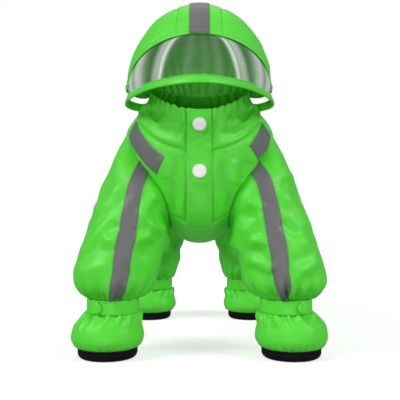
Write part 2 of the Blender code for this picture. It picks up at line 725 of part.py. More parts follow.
def add_snap(name, base, axis, radius, finish):
    """A domed cap, its flat back at base and its axis pointing out."""
    axis = axis / np.linalg.norm(axis)
    across = np.cross(axis, (0, 0, 1.0))
    across /= np.linalg.norm(across)
    up = np.cross(across, axis)
    angle = np.arange(SNAP_COLUMNS) * math.tau / SNAP_COLUMNS
    circle = np.cos(angle)[:, None] * across + np.sin(angle)[:, None] * up
    rings = np.array([base + circle * radius * share + axis * SNAP_HEIGHT * height
                      for share, height in SNAP_PROFILE])
    add_stack(name, rings, finish)


def make_feet():
    for place, (foot_x, ankle_x, y, strap_z) in LEGS.items():
        for side, sign in SIDES.items():
            name = f"{place}_{side}"
            make_boot(name, sign * foot_x, sign * ankle_x, y, strap_z)
            make_sole(name, sign * foot_x, y)
            make_strap(name, sign * ankle_x, y, strap_z, sign)


def make_snaps():
    for name, ring in SNAP_RINGS.items():
        on_cloth = skin(body, ring, 0.0, 0.0)
        outward = skin(body, ring, 0.0, 1.0) - on_cloth
        base = on_cloth + outward * (SEAM + CLOTH + SEAM)
        add_snap(name, base, outward, SNAP_RADIUS, "snap")


# ----------------------------------------------------------------------------------------------------
# Hood

HOOD_ROWS = np.array([0, 0.5, 1, 1.5, 2, 2.5, 3, 3.5, 4, 4.5, 5])
CENTRE_HALF = 24.0
SIDE_COLUMNS = 7


def hood_angles(x):
    """Angle on each row of the hood at which it is x from the middle plane."""
    halves = np.append(rows(HOOD)[:, 0], BODY["collar"][4])
    half = np.interp(HOOD_ROWS, np.arange(len(halves)), halves)
    return np.degrees(np.arcsin(x / half))


def make_hood():
    number = HOOD_ROWS[:, None]
    inner, outer = hood_angles(TAPE_WIDTH / 2), hood_angles(CENTRE_HALF)
    centre = np.stack([-outer, -inner, 0 * inner, inner, outer], 1)
    add_panel("hood_centre", hoop, number + 0 * centre, centre, ("first", "low", "high"))
    keep = slice(0, -1)
    add_panel("tape_hood", hoop, (number + 0 * centre)[keep, 1:4], centre[keep, 1:4], ("first",),
              finish="tape", out=SEAM + TAPE, thickness=TAPE)
    share = np.linspace(0, 1, SIDE_COLUMNS + 1)
    flank = outer[:, None] + (90 - outer[:, None]) * share
    for side, sign in SIDES.items():
        add_panel(f"hood_{side}", hoop, number + 0 * flank, sign * flank, ("first", "low", "high"))


RIM_BACK_STEPS = 5
RIM_CORNER = 3                  # row of RIM under the lower end of the hood's front edge
HOOD_BACK = 4.7                 # how far along the hood's lower edge the visor runs


def rim_places():
    """Rim rows for the visor's columns on one side: one for each at the hood's front, then the back."""
    front = np.linspace(0, RIM_CORNER, SIDE_COLUMNS + 3)
    return np.concatenate([front, np.linspace(RIM_CORNER, len(RIM) - 1, RIM_BACK_STEPS + 1)[1:]])


def visor_top():
    """The hood's front edge from the crown line down one side, then along its lower edge to the collar."""
    first = [0, hood_angles(TAPE_WIDTH / 2)[0], hood_angles(CENTRE_HALF)[0]]
    angles = np.concatenate([first, np.linspace(first[-1], 90, SIDE_COLUMNS + 1)[1:]])
    edge = hoop(0.0, angles)
    back = hoop(np.linspace(0, HOOD_BACK, RIM_BACK_STEPS + 1)[1:], 90.0)
    return np.concatenate([edge, back])


def mirror_line(line):
    return np.concatenate([line[:0:-1] * (-1, 1, 1), line])


def make_visor():
    top = mirror_line(visor_top())
    rim = mirror_line(table_spline(RIM, rim_places()))
    bottom = rim + (0, 0, RIM_HEIGHT / 2 + VISOR_RISE)
    share = np.linspace(0, 1, VISOR_ROWS)[:, None, None]
    grid = top[None] * (1 - share) + bottom[None] * share
    down = bottom - top
    along = np.gradient(rim, axis=0)
    out = np.cross(along, down)
    out = out / np.linalg.norm(out, axis=-1, keepdims=True)
    out = out * np.sign((out * (rim - RIM_MIDDLE)).sum(-1, keepdims=True))
    bulge = VISOR_BULGE * np.sin(math.pi * share)
    outer = draw_in(grid + bulge * out, ("first", "last"))
    inner = draw_in(grid + bulge * out - FILM * out, ("first", "last"))
    add_wall("visor", outer, inner, "film")

    along = along * (1, 1, 0)
    along = along / np.linalg.norm(along, axis=-1, keepdims=True)
    level = np.cross((0, 0, 1.0), along)
    turn = (np.arange(BINDING_SIDES) + 0.5) * math.tau / BINDING_SIDES
    over, up = (RIM_THICKNESS / 2 / np.cos(turn).max(), (RIM_HEIGHT - SEAM) / 2 / np.sin(turn).max())
    section = [rim + level * over * math.cos(a) + np.array([0, 0, up * math.sin(a)]) for a in turn]
    add_stack("visor_binding", np.stack(section, 1), "cloth")


def main():
    for thing in list(bpy.data.objects):
        bpy.data.objects.remove(thing)
    make_body()
    make_collar()
    make_placket()
    make_snaps()
    make_shoulder_tapes()
    make_legs()
    make_feet()
    make_hood()
    make_visor()


main()
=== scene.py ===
"""Looks of the dog rain suit: its cloth, tapes, clear visor, soles, snaps and stitching, and the studio.

The suit faces -Y, +X is the wearer's left and +Z is up. Lengths in the tables are millimetres and angles are
degrees. Every cloth piece is a thin closed shell on the surface that its CAD solid is made on, read in finer
steps and moved out along that surface's normal by seams, gathers, creases laid by hand, and a slight crumple.
"""
import functools
import math

import bmesh
import bpy
import numpy as np
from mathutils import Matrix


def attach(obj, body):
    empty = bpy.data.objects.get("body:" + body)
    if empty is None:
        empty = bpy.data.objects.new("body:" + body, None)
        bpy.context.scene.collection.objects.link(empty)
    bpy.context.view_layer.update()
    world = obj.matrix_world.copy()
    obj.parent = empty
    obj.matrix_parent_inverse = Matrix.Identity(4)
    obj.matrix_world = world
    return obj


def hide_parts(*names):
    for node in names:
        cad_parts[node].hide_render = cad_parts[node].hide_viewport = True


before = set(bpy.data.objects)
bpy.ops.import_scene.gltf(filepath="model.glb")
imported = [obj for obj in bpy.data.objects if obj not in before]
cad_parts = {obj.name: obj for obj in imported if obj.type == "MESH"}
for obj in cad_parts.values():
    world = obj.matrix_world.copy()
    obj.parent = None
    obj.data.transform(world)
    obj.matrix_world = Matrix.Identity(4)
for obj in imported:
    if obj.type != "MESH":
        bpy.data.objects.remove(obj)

bl_info = {
    "name": "Dog rain suit",
    "version": (1, 0, 0),
    "blender": (4, 5, 0),
    "location": "3D View > Sidebar > Rain suit",
    "description": "Builds the cloth, trims, visor, soles, snaps and stitching of a dog rain suit",
    "category": "Add Mesh",
}

MM = 0.001
MIDDLE_Y = 17.3                 # added to every y, which puts the suit's middle over the origin
SIDES = {"left": 1, "right": -1}
SEAM = 0.3                      # the gap that is left between two layers

# ----------------------------------------------------------------------------------------------------
# The surfaces that the CAD solids are made on

BODY = {
    #               low_y low_z high_y high_z half_w widest lift pinch
    "rear hem":     (176, 150, 206, 236, 50, 0.52, 0, 0.00),
    "rump":         (152, 139, 184, 262, 70, 0.55, 0, 0.00),
    "loin":         (92, 134, 112, 275, 77, 0.57, 0, 0.02),
    "waist":        (22, 131, 40, 279, 78, 0.58, 0, 0.04),
    "ribs":         (-42, 128, -4, 283, 80, 0.62, 0, 0.10),
    "brisket":      (-100, 126, -20, 285, 84, 0.66, 2, 0.20),
    "belly seam":   (-149, 145, -30, 286, 86, 0.62, 5, 0.28),
    "breast":       (-166, 184, -38, 287, 84, 0.56, 9, 0.15),
    "neck seam":    (-168, 223, -42, 288, 70, 0.46, 16, 0.00),
    "collar":       (-166, 247, -50, 295, 58, 0.44, 16, 0.00),
    "collar top":   (-161, 267, -56, 302, 54, 0.42, 14, 0.00),
}
RING = {name: number for number, name in enumerate(BODY)}

ARMHOLE = {
    # turn: ring girth
    0:   (7.16, 84),
    45:  (6.00, 80),
    90:  (4.95, 61),
    135: (4.75, 43),
    180: (4.98, 32),
    225: (5.74, 29.5),
    270: (6.62, 34.5),
    315: (7.02, 57),
}
HIND_HOLE = {
    0:   (1.25, 84),
    45:  (0.68, 73),
    90:  (0.45, 52),
    135: (0.55, 34),
    180: (1.00, 24),
    225: (1.60, 26),
    270: (1.98, 46),
    315: (1.85, 70),
}
SIDE_SEAM_TURN = 120.0          # where the side seam and the belly's front seam meet the armhole
BELLY_SEAM_TURN = 240.0
SIDE_SEAM_GIRTH = 50.0          # where the side seam meets the rear hem
NECK_FRONT_GIRTH = 80.0         # where the shoulder seam meets the neck seam

SLEEVE = {
    #                 out_x  out_z   in_x   in_z   mid_y  depth yaw
    "shoulder":      (96.5, 217.0, 36.8, 135.5, -116, 45.0, 11),
    "upper arm":     (109.0, 186.0, 35.0, 126.5, -121, 45.0, 6),
    "elbow":         (119.5, 155.0, 36.5, 118.0, -125, 45.0, 2),
    "forearm":       (129.0, 124.0, 41.0, 108.0, -129, 45.0, 0),
    "lower arm":     (136.5, 99.0, 46.0, 95.0, -132, 44.5, 0),
    "above cuff":    (137.5, 84.0, 50.0, 83.0, -134, 42.5, 0),
    "gather":        (131.5, 74.0, 57.0, 73.5, -135, 36.5, 0),
    "strap top":     (121.9, 65.7, 68.1, 65.7, -135, 26.9, 0),
    "ankle":         (121.9, 57.5, 68.1, 57.5, -135, 26.9, 0),
}
TROUSER = {
    "thigh":         (87.0, 192.0, 26.5, 128.0, 131, 44.0, -5),
    "upper leg":     (99.0, 160.0, 27.0, 116.0, 133, 44.0, -2),
    "knee":          (108.0, 126.0, 28.5, 104.0, 134, 43.5, 0),
    "lower leg":     (113.5, 96.0, 31.0, 90.0, 135, 43.0, 0),
    "above cuff":    (112.0, 79.0, 35.0, 77.0, 135, 40.0, 0),
    "gather":        (106.0, 69.0, 39.0, 68.5, 135, 35.0, 0),
    "strap top":     (97.9, 61.2, 44.1, 61.2, 135, 26.9, 0),
    "ankle":         (97.9, 53.0, 44.1, 53.0, 135, 26.9, 0),
}
LEGS = {
    #         foot_x ankle_x   y    strap_z
    "front": (101.0, 95.0, -135.0, 57.5),
    "hind":  (77.0, 71.0, 135.0, 53.0),
}
SLEEVE_TAPES = {
    #         armhole  shoulder  elbow  cuff   gather ankle
    "along": (0.0,     1.0,      3.0,   5.0,   7.0,   9.0),
    "right": (304.0,   290.0,    269.0, 257.0, 258.0, 259.0),
    "left":  (304.0,   293.0,    274.0, 260.0, 260.0, 261.0),
}
SHOULDER_TAPES = {
    # wearer's   outer top      outer low      inner low      inner top
    "right": ((7.32, 79.0), (7.05, 36.5), (7.62, 29.5), (7.93, 78.6)),
    "left":  ((7.26, 80.5), (7.10, 54.0), (7.70, 46.0), (7.93, 76.0)),
}
TAPE_WIDTH = 20.0

BOOT = {
    #             z    radius
    "sole seam": (12.3, 32.2),
    "pucker":    (16.0, 36.8),
    "low":       (22.0, 39.6),
    "widest":    (30.0, 38.9),
    "high":      (38.0, 36.2),
    "gather":    (44.5, 31.8),
    "strap":     (49.2, 26.9),
}
UNDER_STRAP = 8.3               # how far a boot goes on up under its strap
LEG_SHIFT = (34.0, 49.0)        # the heights between which it leans over from its foot to its ankle

HOOD = {
    #               half_w base_y base_z top_y top_z
    "front edge":  (75.4, -152, 291, -200, 336),
    "brow":        (79.0, -140, 292, -172, 371),
    "crown":       (80.0, -127, 292, -130, 388),
    "rear crown":  (77.0, -115, 292, -88, 376),
    "nape":        (69.0, -106, 291, -62, 344),
}
HOOD_REAR_RING = (9.25, 9.80)   # the body's ring under the last hoop, at its base and at its top
HOOD_REAR_GIRTH = 100           # and the girth under its base
HOOD_REAR_RISE = 1.9            # clear of the collar's cloth and its low gathers
CENTRE_HALF = 24.0              # half the width of the centre panel

RIM = {
    #             x    y     z
    "front":     (0, -239, 282.5),
    "quarter":   (38, -219, 282.5),
    "cheek":     (62, -185, 282.5),
    "corner":    (76, -152, 282.3),
    "widest":    (80.5, -127, 281.5),
    "behind":    (77.5, -111, 281.0),
    "inward":    (71, -102, 280.6),
    "at collar": (67.9, -99.4, 280.6),
    "sewn":      (60.6, -98.5, 281.0),
}
RIM_CORNER = 3                  # the row where the rim meets the hood's front edge
RIM_HEIGHT = 9.0
RIM_THICKNESS = 3.2
RIM_MIDDLE = (0, -150, 282)
HOOD_BACK = 4.7                 # the hoop that the film ends at

PLACKET_WIDTH = 25.0
SNAP_RADIUS = 7.4
SNAP_RINGS = {"snap_upper": 9.15, "snap_lower": 7.43}
SNAP_HEIGHT = 2.6
STRAP_HEIGHT = 15.0
STRAP_INNER = 27.4
STRAP_CLOTH = 1.4
STRAP_SNAP_RADIUS = 6.5
STRAP_SNAP_TURN = 27.0          # degrees that the snap lies outwards from the front
STRAP_OVERLAP = 44.0            # degrees that the free end laps over the start
STRAP_RISE = (300.0, 356.0)     # the part of the sweep in which it climbs on to it


def rows(table):
    return np.array(list(table.values()), float)


def blend_four(before, start, end, after, t):
    """Catmull-Rom curve between start and end."""
    return 0.5 * (2 * start + (end - before) * t + (2 * before - 5 * start + 4 * end - after) * t ** 2
                  + (3 * start - before - 3 * end + after) * t ** 3)


def spline(controls, place):
    """A curve down each column of a stack of grids, read at that column's own row number."""
    low = np.clip(np.floor(place).astype(int), 0, len(controls) - 2)
    padded = np.concatenate([2 * controls[:1] - controls[1:2], controls, 2 * controls[-1:] - controls[-2:-1]])
    four = [np.take_along_axis(padded, (low + k)[None, ..., None], 0)[0] for k in range(4)]
    return blend_four(*four, (place - low)[..., None])


def curve(points, place):
    """A smooth curve through points, read at the row numbers in place."""
    place = np.asarray(place, float)
    stack = points.reshape(len(points), *(1,) * place.ndim, -1)
    return spline(np.broadcast_to(stack, (len(points), *place.shape, points.shape[1])), place)


def table_spline(table, place):
    return curve(rows(table), place)


def closed_spline(table, turn):
    """A closed curve through a table's rows, equally spaced round a turn, read at an angle in degrees."""
    points = rows(table)
    place = np.asarray(turn, float) % 360 / 360 * len(points)
    low = np.floor(place).astype(int) % len(points)
    padded = np.concatenate([points[-1:], points, points[:3]])
    return blend_four(*(padded[low + k] for k in range(4)), (place - np.floor(place))[..., None])


def smooth(value, start, end):
    """0 before start, 1 after end, and an S curve between them."""
    t = np.clip((value - start) / (end - start), 0, 1)
    return t * t * (3 - 2 * t)


def unit(vectors):
    return vectors / np.linalg.norm(vectors, axis=-1, keepdims=True)


NORMAL_STEP = (0.01, 0.5)


def sample(surface, u, v, facing=1):
    """Points on surface(u, v) and its outward normals, which are the cross of its two directions."""
    u, v = np.broadcast_arrays(np.asarray(u, float), v)
    step_u, step_v = NORMAL_STEP
    along = surface(u + step_u, v) - surface(u - step_u, v)
    across = surface(u, v + step_v) - surface(u, v - step_v)
    return surface(u, v), facing * unit(np.cross(across, along))


def body(ring, girth):
    """The body tube: a ring that is an oval of sines, wider above its lowest point by its own share."""
    ring, girth = np.broadcast_arrays(np.asarray(ring, float), girth)
    low_y, low_z, high_y, high_z, half, widest, lift, pinch = np.moveaxis(table_spline(BODY, ring), -1, 0)
    across = np.sin(np.radians(girth))
    down = np.cos(np.radians(girth))
    climb = np.where(down > 0, widest * (1 - down), widest - (1 - widest) * down)
    x = half * across * (1 - pinch * np.maximum(down, 0) ** 2)
    y = low_y + climb * (high_y - low_y)
    z = low_z + climb * (high_z - low_z) + lift * across ** 2
    return np.stack([x, y, z], -1)


def body_girth(ring, x):
    """The girth, on the belly's side, at which a ring is x from the middle plane."""
    half, pinch = np.moveaxis(table_spline(BODY, ring)[..., [4, 7]], -1, 0)
    return np.degrees(np.arcsin(x / (half * (1 - pinch))))


def leg_surface(hole, table, side):
    """A leg's surface: a spline down each of its columns, from its hole in the body to its ankle."""
    ring = rows(table)
    outer = np.stack([ring[:, 0], ring[:, 4], ring[:, 1]], -1)
    inner = np.stack([ring[:, 2], ring[:, 4], ring[:, 3]], -1)
    across = np.stack([ring[:, 6], ring[:, 5], 0 * ring[:, 5]], -1)

    def surface(along, turn):
        along, turn = np.broadcast_arrays(np.asarray(along, float), turn)
        place = closed_spline(hole, turn)
        angle = np.radians(turn)[..., None]
        hoops = [middle + half * np.cos(angle) + side_half * np.sin(angle)
                 for middle, half, side_half in zip((outer + inner) / 2, (outer - inner) / 2, across)]
        controls = np.stack([body(place[..., 0], place[..., 1])] + hoops)
        return spline(controls, along) * np.array([side, 1, 1])
    return surface


def hoop(number, angle):
    """The hood's hoops, splined from front to back. angle is 0 on the crown line and 90 at the base."""
    number, angle = np.broadcast_arrays(np.asarray(number, float), angle)
    across, up = np.sin(np.radians(angle)), np.cos(np.radians(angle))
    arches = [np.stack([half * across, base_y + (top_y - base_y) * up, base_z + (top_z - base_z) * up], -1)
              for half, base_y, base_z, top_y, top_z in rows(HOOD)]
    ring = HOOD_REAR_RING[1] - (HOOD_REAR_RING[1] - HOOD_REAR_RING[0]) * across ** 2
    girth = 180 - angle * (180 - HOOD_REAR_GIRTH) / 90
    base, normal = sample(body, ring, girth)
    arches.append(base + normal * HOOD_REAR_RISE)
    return spline(np.stack(arches), number)


def hood_angle(number, x):
    """Angle on the hood, at a place from front to back, at which it is x from the middle plane."""
    halves = np.append(rows(HOOD)[:, 0], BODY["collar"][4])
    return np.degrees(np.arcsin(x / np.interp(number, np.arange(len(halves)), halves)))


# ----------------------------------------------------------------------------------------------------
# Relief: what moves the cloth off its plain surface

# Creases, given one by one. azimuth is the side that they are drawn from, 0 being the front and 90 the
# wearer's left. Each runs through its points, (across, up) as seen from there; a positive depth is a ridge.
CREASES = {
    "sleeve_right": (
        # azimuth width depth points
        (0, 9, -1.6, ((-90, 215), (-100, 188), (-113, 161))),
        (0, 7, 2.2, ((-80, 192), (-98, 172), (-117, 156))),
        (0, 5, 2.2, ((-98, 146), (-113, 130), (-130, 110))),
        (0, 6, 1.8, ((-84, 128), (-102, 131))),
        (0, 5, -2.2, ((-99, 137), (-84, 147))),
        (0, 8, 2.0, ((-130, 94), (-110, 100), (-90, 105))),
        (0, 5, 2.2, ((-64, 150), (-54, 166), (-46, 182))),
        (0, 9, -2.8, ((-46, 174), (-43, 157), (-46, 145))),
        (0, 5, 2.0, ((-64, 156), (-47, 143), (-35, 141))),
        (0, 5, 2.0, ((-68, 129), (-50, 134))),
        (0, 8, -2.4, ((-64, 110), (-50, 122), (-38, 134))),
        (0, 9, 1.6, ((-84, 231), (-89, 214), (-96, 194))),
        (-80, 8, -1.3, ((58, 196), (84, 172), (106, 162))),
        (-80, 6, 1.0, ((54, 170), (82, 152), (108, 144))),
        (-80, 7, -1.2, ((104, 134), (86, 120), (54, 126))),
        (-80, 6, 1.0, ((106, 110), (88, 106), (56, 112))),
        (-80, 9, 0.9, ((72, 222), (86, 196), (92, 176))),
        (180, 7, -2.4, ((44, 172), (70, 158), (104, 162))),
        (180, 7, -2.2, ((40, 128), (76, 136), (118, 126))),
        (180, 6, 1.8, ((52, 112), (84, 118), (120, 106))),
        (90, 8, -2.4, ((-150, 124), (-130, 112), (-106, 116))),
    ),
    "sleeve_left": (
        (0, 8, 2.4, ((80, 224), (93, 199), (98, 162))),
        (0, 7, -2.0, ((87, 193), (99, 182), (111, 171))),
        (0, 6, 2.4, ((84, 182), (105, 159), (124, 136))),
        (0, 5, -2.4, ((85, 150), (94, 141), (105, 132))),
        (0, 5, 2.2, ((104, 134), (114, 122), (126, 109))),
        (0, 7, 1.8, ((97, 94), (111, 97), (129, 107))),
        (0, 6, -2.0, ((104, 88), (118, 92), (131, 98))),
        (0, 5, 2.0, ((50, 172), (59, 167), (67, 160))),
        (0, 6, 2.0, ((67, 158), (56, 148), (44, 136))),
        (0, 8, -2.6, ((41, 161), (51, 153), (63, 154))),
        (0, 5, 2.0, ((53, 129), (73, 125))),
        (0, 8, -2.2, ((47, 116), (58, 118), (70, 117))),
        (0, 5, 2.0, ((50, 112), (66, 100), (76, 96))),
        (0, 6, -2.2, ((53, 102), (67, 95), (78, 90))),
        (80, 8, -1.3, ((-54, 192), (-82, 170), (-104, 162))),
        (80, 6, 1.0, ((-52, 168), (-80, 150), (-106, 146))),
        (80, 7, -1.2, ((-108, 132), (-88, 118), (-56, 128))),
        (80, 6, 1.0, ((-104, 108), (-86, 104), (-58, 110))),
        (80, 9, 0.9, ((-70, 224), (-84, 198), (-94, 178))),
        (180, 7, -2.4, ((-104, 160), (-72, 156), (-44, 170))),
        (180, 7, -2.2, ((-116, 130), (-78, 126), (-42, 134))),
        (180, 6, 1.8, ((-112, 108), (-80, 114), (-50, 106))),
        (-90, 8, -2.4, ((106, 122), (130, 110), (150, 118))),
    ),
    "hind_leg_right": (
        (0, 7, -2.4, ((-36, 130), (-52, 114), (-66, 108))),
        (0, 6, 1.8, ((-34, 112), (-50, 100), (-62, 96))),
        (0, 6, -2.2, ((-40, 92), (-52, 86), (-70, 88))),
        (-80, 7, -2.4, ((-110, 172), (-134, 150), (-160, 142))),
        (-80, 7, 2.2, ((-108, 150), (-134, 132), (-162, 124))),
        (-80, 6, -2.2, ((-162, 108), (-136, 106), (-110, 114))),
        (-80, 6, 1.8, ((-160, 92), (-136, 92), (-112, 98))),
        (180, 7, -2.3, ((30, 160), (60, 144), (92, 150))),
        (180, 7, 2.0, ((34, 138), (62, 126), (96, 132))),
        (180, 6, -2.2, ((34, 110), (66, 112), (104, 104))),
        (90, 8, -2.2, ((112, 114), (134, 104), (156, 110))),
    ),
    "hind_leg_left": (
        (0, 7, -2.4, ((38, 126), (54, 112), (68, 110))),
        (0, 6, 1.8, ((34, 108), (50, 98), (64, 92))),
        (0, 6, -2.2, ((38, 90), (54, 84), (72, 90))),
        (80, 7, -2.4, ((160, 168), (134, 148), (108, 144))),
        (80, 7, 2.2, ((162, 146), (134, 128), (110, 126))),
        (80, 6, -2.2, ((110, 106), (136, 104), (162, 112))),
        (80, 6, 1.8, ((112, 90), (136, 90), (160, 96))),
        (180, 7, -2.3, ((-92, 158), (-60, 146), (-30, 152))),
        (180, 7, 2.0, ((-96, 134), (-62, 124), (-34, 130))),
        (180, 6, -2.2, ((-104, 110), (-66, 108), (-34, 116))),
        (-90, 8, -2.2, ((-156, 116), (-134, 102), (-112, 108))),
    ),
    "chest_right": (
        (0, 5, -3.4, ((-26, 216), (-26, 181), (-29, 161), (-33, 146))),
        (0, 3, -1.4, ((-17, 226), (-16, 203), (-16, 172))),
        (0, 5, 1.4, ((-37, 218), (-36, 193))),
    ),
    "chest_left": (
        (0, 5, -3.2, ((24, 215), (27, 181), (32, 158), (35, 146))),
        (0, 5, -1.3, ((53, 216), (49, 203), (46, 190))),
        (0, 5, 1.4, ((38, 216), (37, 188))),
    ),
    "collar_right": (
        (0, 2.2, -4.6, ((-56, 278), (-49, 263), (-42, 256))),
        (0, 6, 1.8, ((-42, 257), (-30, 247))),
        (0, 6, -1.8, ((-48, 250), (-31, 245), (-17, 243))),
        (0, 4, -1.8, ((-22, 264), (-20, 252), (-16, 243))),
        (0, 5, 1.6, ((-34, 266), (-30, 256))),
        (-70, 6, -2.0, ((40, 262), (72, 258), (104, 266))),
        (-70, 5, 1.6, ((44, 280), (74, 272), (106, 280))),
        (-150, 6, -1.8, ((80, 284), (58, 280), (34, 288))),
    ),
    "collar_left": (
        (0, 2.2, -4.6, ((58, 278), (51, 262), (44, 256))),
        (0, 6, -1.8, ((21, 242), (38, 243), (51, 251))),
        (0, 6, 1.8, ((45, 257), (31, 248))),
        (0, 4, -1.4, ((20, 258), (17, 246))),
        (0, 5, 1.4, ((26, 266), (28, 255))),
        (70, 6, -2.0, ((-104, 264), (-72, 257), (-40, 264))),
        (70, 5, 1.6, ((-106, 282), (-76, 272), (-44, 278))),
        (150, 6, -1.8, ((-34, 286), (-58, 280), (-80, 286))),
    ),
    "placket": (
        (0, 3, 0.9, ((-11, 247), (-2, 240), (9, 232))),
        (0, 3, -0.8, ((10, 250), (1, 238), (-10, 230))),
        (0, 3, 0.8, ((-11, 224), (0, 229), (10, 224))),
        (0, 3, -0.8, ((-11, 216), (-4, 210), (6, 212))),
        (0, 3, 0.7, ((-9, 190), (0, 193), (10, 189))),
    ),
    "back": (
        (90, 12, -3.2, ((-52, 268), (-16, 232), (-2, 196))),
        (90, 9, 2.2, ((-30, 274), (6, 236), (18, 204))),
        (90, 12, -3.4, ((56, 272), (34, 232), (40, 196))),
        (90, 10, 2.4, ((78, 268), (58, 234), (60, 204))),
        (90, 12, -3.0, ((130, 262), (100, 236), (94, 214))),
        (90, 8, 2.2, ((150, 246), (122, 226), (108, 206))),
        (-90, 12, -3.2, ((44, 272), (14, 236), (2, 198))),
        (-90, 9, 2.2, ((24, 276), (-8, 240), (-20, 206))),
        (-90, 12, -3.4, ((-50, 268), (-38, 230), (-46, 196))),
        (-90, 10, 2.4, ((-74, 270), (-62, 236), (-66, 202))),
        (-90, 12, -3.0, ((-124, 258), (-98, 234), (-92, 210))),
        (180, 10, -2.6, ((-44, 232), (-8, 214), (34, 226))),
        (180, 8, 2.0, ((40, 204), (10, 196), (-30, 208))),
    ),
    "belly": (
        (90, 9, -2.6, ((-30, 150), (10, 162), (40, 158))),
        (-90, 9, -2.6, ((30, 152), (-12, 164), (-44, 156))),
        (90, 8, 2.0, ((20, 150), (60, 164), (90, 158))),
        (-90, 8, 2.0, ((-16, 150), (-56, 166), (-88, 158))),
    ),
    "hood_left": (
        (90, 6, -1.4, ((-150, 300), (-128, 318), (-118, 340))),
        (90, 5, 1.1, ((-136, 296), (-112, 312), (-100, 330))),
        (90, 6, -1.3, ((-96, 296), (-80, 320), (-72, 336))),
    ),
    "hood_right": (
        (-90, 6, -1.4, ((148, 302), (126, 320), (116, 342))),
        (-90, 5, 1.1, ((134, 298), (112, 314), (98, 332))),
        (-90, 6, -1.3, ((94, 296), (82, 318), (70, 338))),
    ),
    "hood_centre": (
        (180, 7, -1.8, ((-18, 344), (0, 350), (20, 342))),
        (180, 6, 1.4, ((-20, 326), (2, 332), (18, 328))),
    ),
}
CREASE_STEPS = 10               # points that a crease's line is read at
CREASE_REACH = 1.8              # how many widths it takes to fall off to nothing
CREASE_ROUNDING = 0.10          # how round its top is: 0 is a sharp fold
CREASE_POWER = 1.2              # over 1, its sides are a little hollow
CREASE_ENDS = (-0.05, 0.22)     # shares of its length between which it comes in from either end
COMPANION = (2.0, 0.5, 3.0)     # the counter-fold: how many widths away, share of the depth, reach in widths
FACING = (0.0, 0.45)            # how squarely the cloth faces the side that a crease is drawn from
CREASE_DEPTH = 1.4              # what each depth in the table is multiplied by


def creases(name, base, normal):
    """How far the creases move the cloth. Each is a fold with nearly flat sides, a tent of its distance from
    the line, that dies out at both ends and has a lower counter-fold on the left of its run."""
    lift = np.zeros(base.shape[:-1])
    away, portion, reach = COMPANION
    for azimuth, width, depth, points in CREASES.get(name, ()):
        angle = math.radians(azimuth)
        right = np.array([math.cos(angle), math.sin(angle), 0])
        towards = np.array([math.sin(angle), -math.cos(angle), 0])
        seen = np.stack([base @ right, base[..., 2]], -1)[..., None, :]
        points = np.array(points, float)
        line = curve(points, np.linspace(0, len(points) - 1, CREASE_STEPS))
        run = np.diff(line, axis=0)
        length = np.linalg.norm(run, axis=-1)
        from_start = seen - line[:-1]
        part = np.clip((from_start * run).sum(-1) / length ** 2, 0, 1)
        apart = np.linalg.norm(from_start - part[..., None] * run, axis=-1)
        side = (from_start[..., 1] * run[:, 0] - from_start[..., 0] * run[:, 1]) / length
        nearest = np.argmin(apart, -1)[..., None]
        part, apart, side = (np.take_along_axis(value, nearest, -1)[..., 0] for value in (part, apart, side))
        share = (nearest[..., 0] + part) / (CREASE_STEPS - 1)
        ends = smooth(share, *CREASE_ENDS) * smooth(1 - share, *CREASE_ENDS)
        tent = 1 - np.sqrt((apart / width / CREASE_REACH) ** 2 + CREASE_ROUNDING ** 2)
        counter = portion * np.exp(-(side / width - away) ** 2 - (apart / width / reach) ** 2)
        fold = np.maximum(tent, 0) ** CREASE_POWER - counter
        lift += CREASE_DEPTH * depth * ends * fold * smooth(normal @ towards, *FACING)
    return lift


def lattice(cell, seed):
    """A number from -1 to 1 for each whole-numbered cell, the same on every run. Primes mix its bits."""
    mixed = cell[..., 0] * 73856093 ^ cell[..., 1] * 19349663 ^ cell[..., 2] * 83492791 ^ seed * 265443576
    mixed = (mixed ^ (mixed >> 13)) * 1274126177
    return ((mixed ^ (mixed >> 16)) & 0xFFFF) / 32767.5 - 1


def noise(points, size, seed):
    """Smooth random numbers: one at each corner of a lattice of cubes, blended across each cube."""
    place = points / size
    low = np.floor(place).astype(np.int64)
    part = place - low
    part = part ** 3 * (part * (part * 6 - 15) + 10)
    total = 0
    for corner in np.ndindex(2, 2, 2):
        weight = np.prod(np.where(corner, part, 1 - part), -1)
        total = total + weight * lattice(low + np.array(corner), seed)
    return total


CRUMPLE = {
    #          size depth
    "broad":  (36.0, 1.7),
    "medium": (17.0, 0.28),
    "fine":   (7.0, 0.10),
}
CRUMPLE_WARP = 7.0              # how far the facets are pushed about, so that no row of cubes shows
WARP_SEEDS = (11, 12, 13)
UNEVEN = {
    #                   size depth seed
    "seam puckers":    (5.5, 0.6, 5),
    "placket":         (9, 0.3, 31),
    "collar gathers":  (13, 0.9, 41),
    "collar folds":    (16, 0.5, 43),
    "strap":           (16, 1.0, 3),
    "film":            (26, 0.25, 8),
    "binding":         (12, 0.35, 17),
    "binding puckers": (5, 0.15, 18),
}


def uneven(name, base):
    """What makes a piece uneven: noise of its own size, times its depth."""
    size, depth, seed = UNEVEN[name]
    return depth * noise(base, size, seed)


def crumple(base):
    """Slight facets: minus the size of a warped random field, which makes ridges where it is nought."""
    warp = np.stack([noise(base, CRUMPLE["broad"][0], seed) for seed in WARP_SEEDS], -1) * CRUMPLE_WARP
    return sum(depth * (0.5 - np.abs(noise(base + warp, size, seed)))
               for seed, (size, depth) in enumerate(CRUMPLE.values()))


PUFF = 0.8                      # how far cloth stands over its plain surface beside a seam
PUFF_WIDTH = 1.5
SEAM_DIP = 0.9                  # how far its stitches pull it in at the seam
PUCKER_REACH = 7.0              # how far from a seam it is puckered


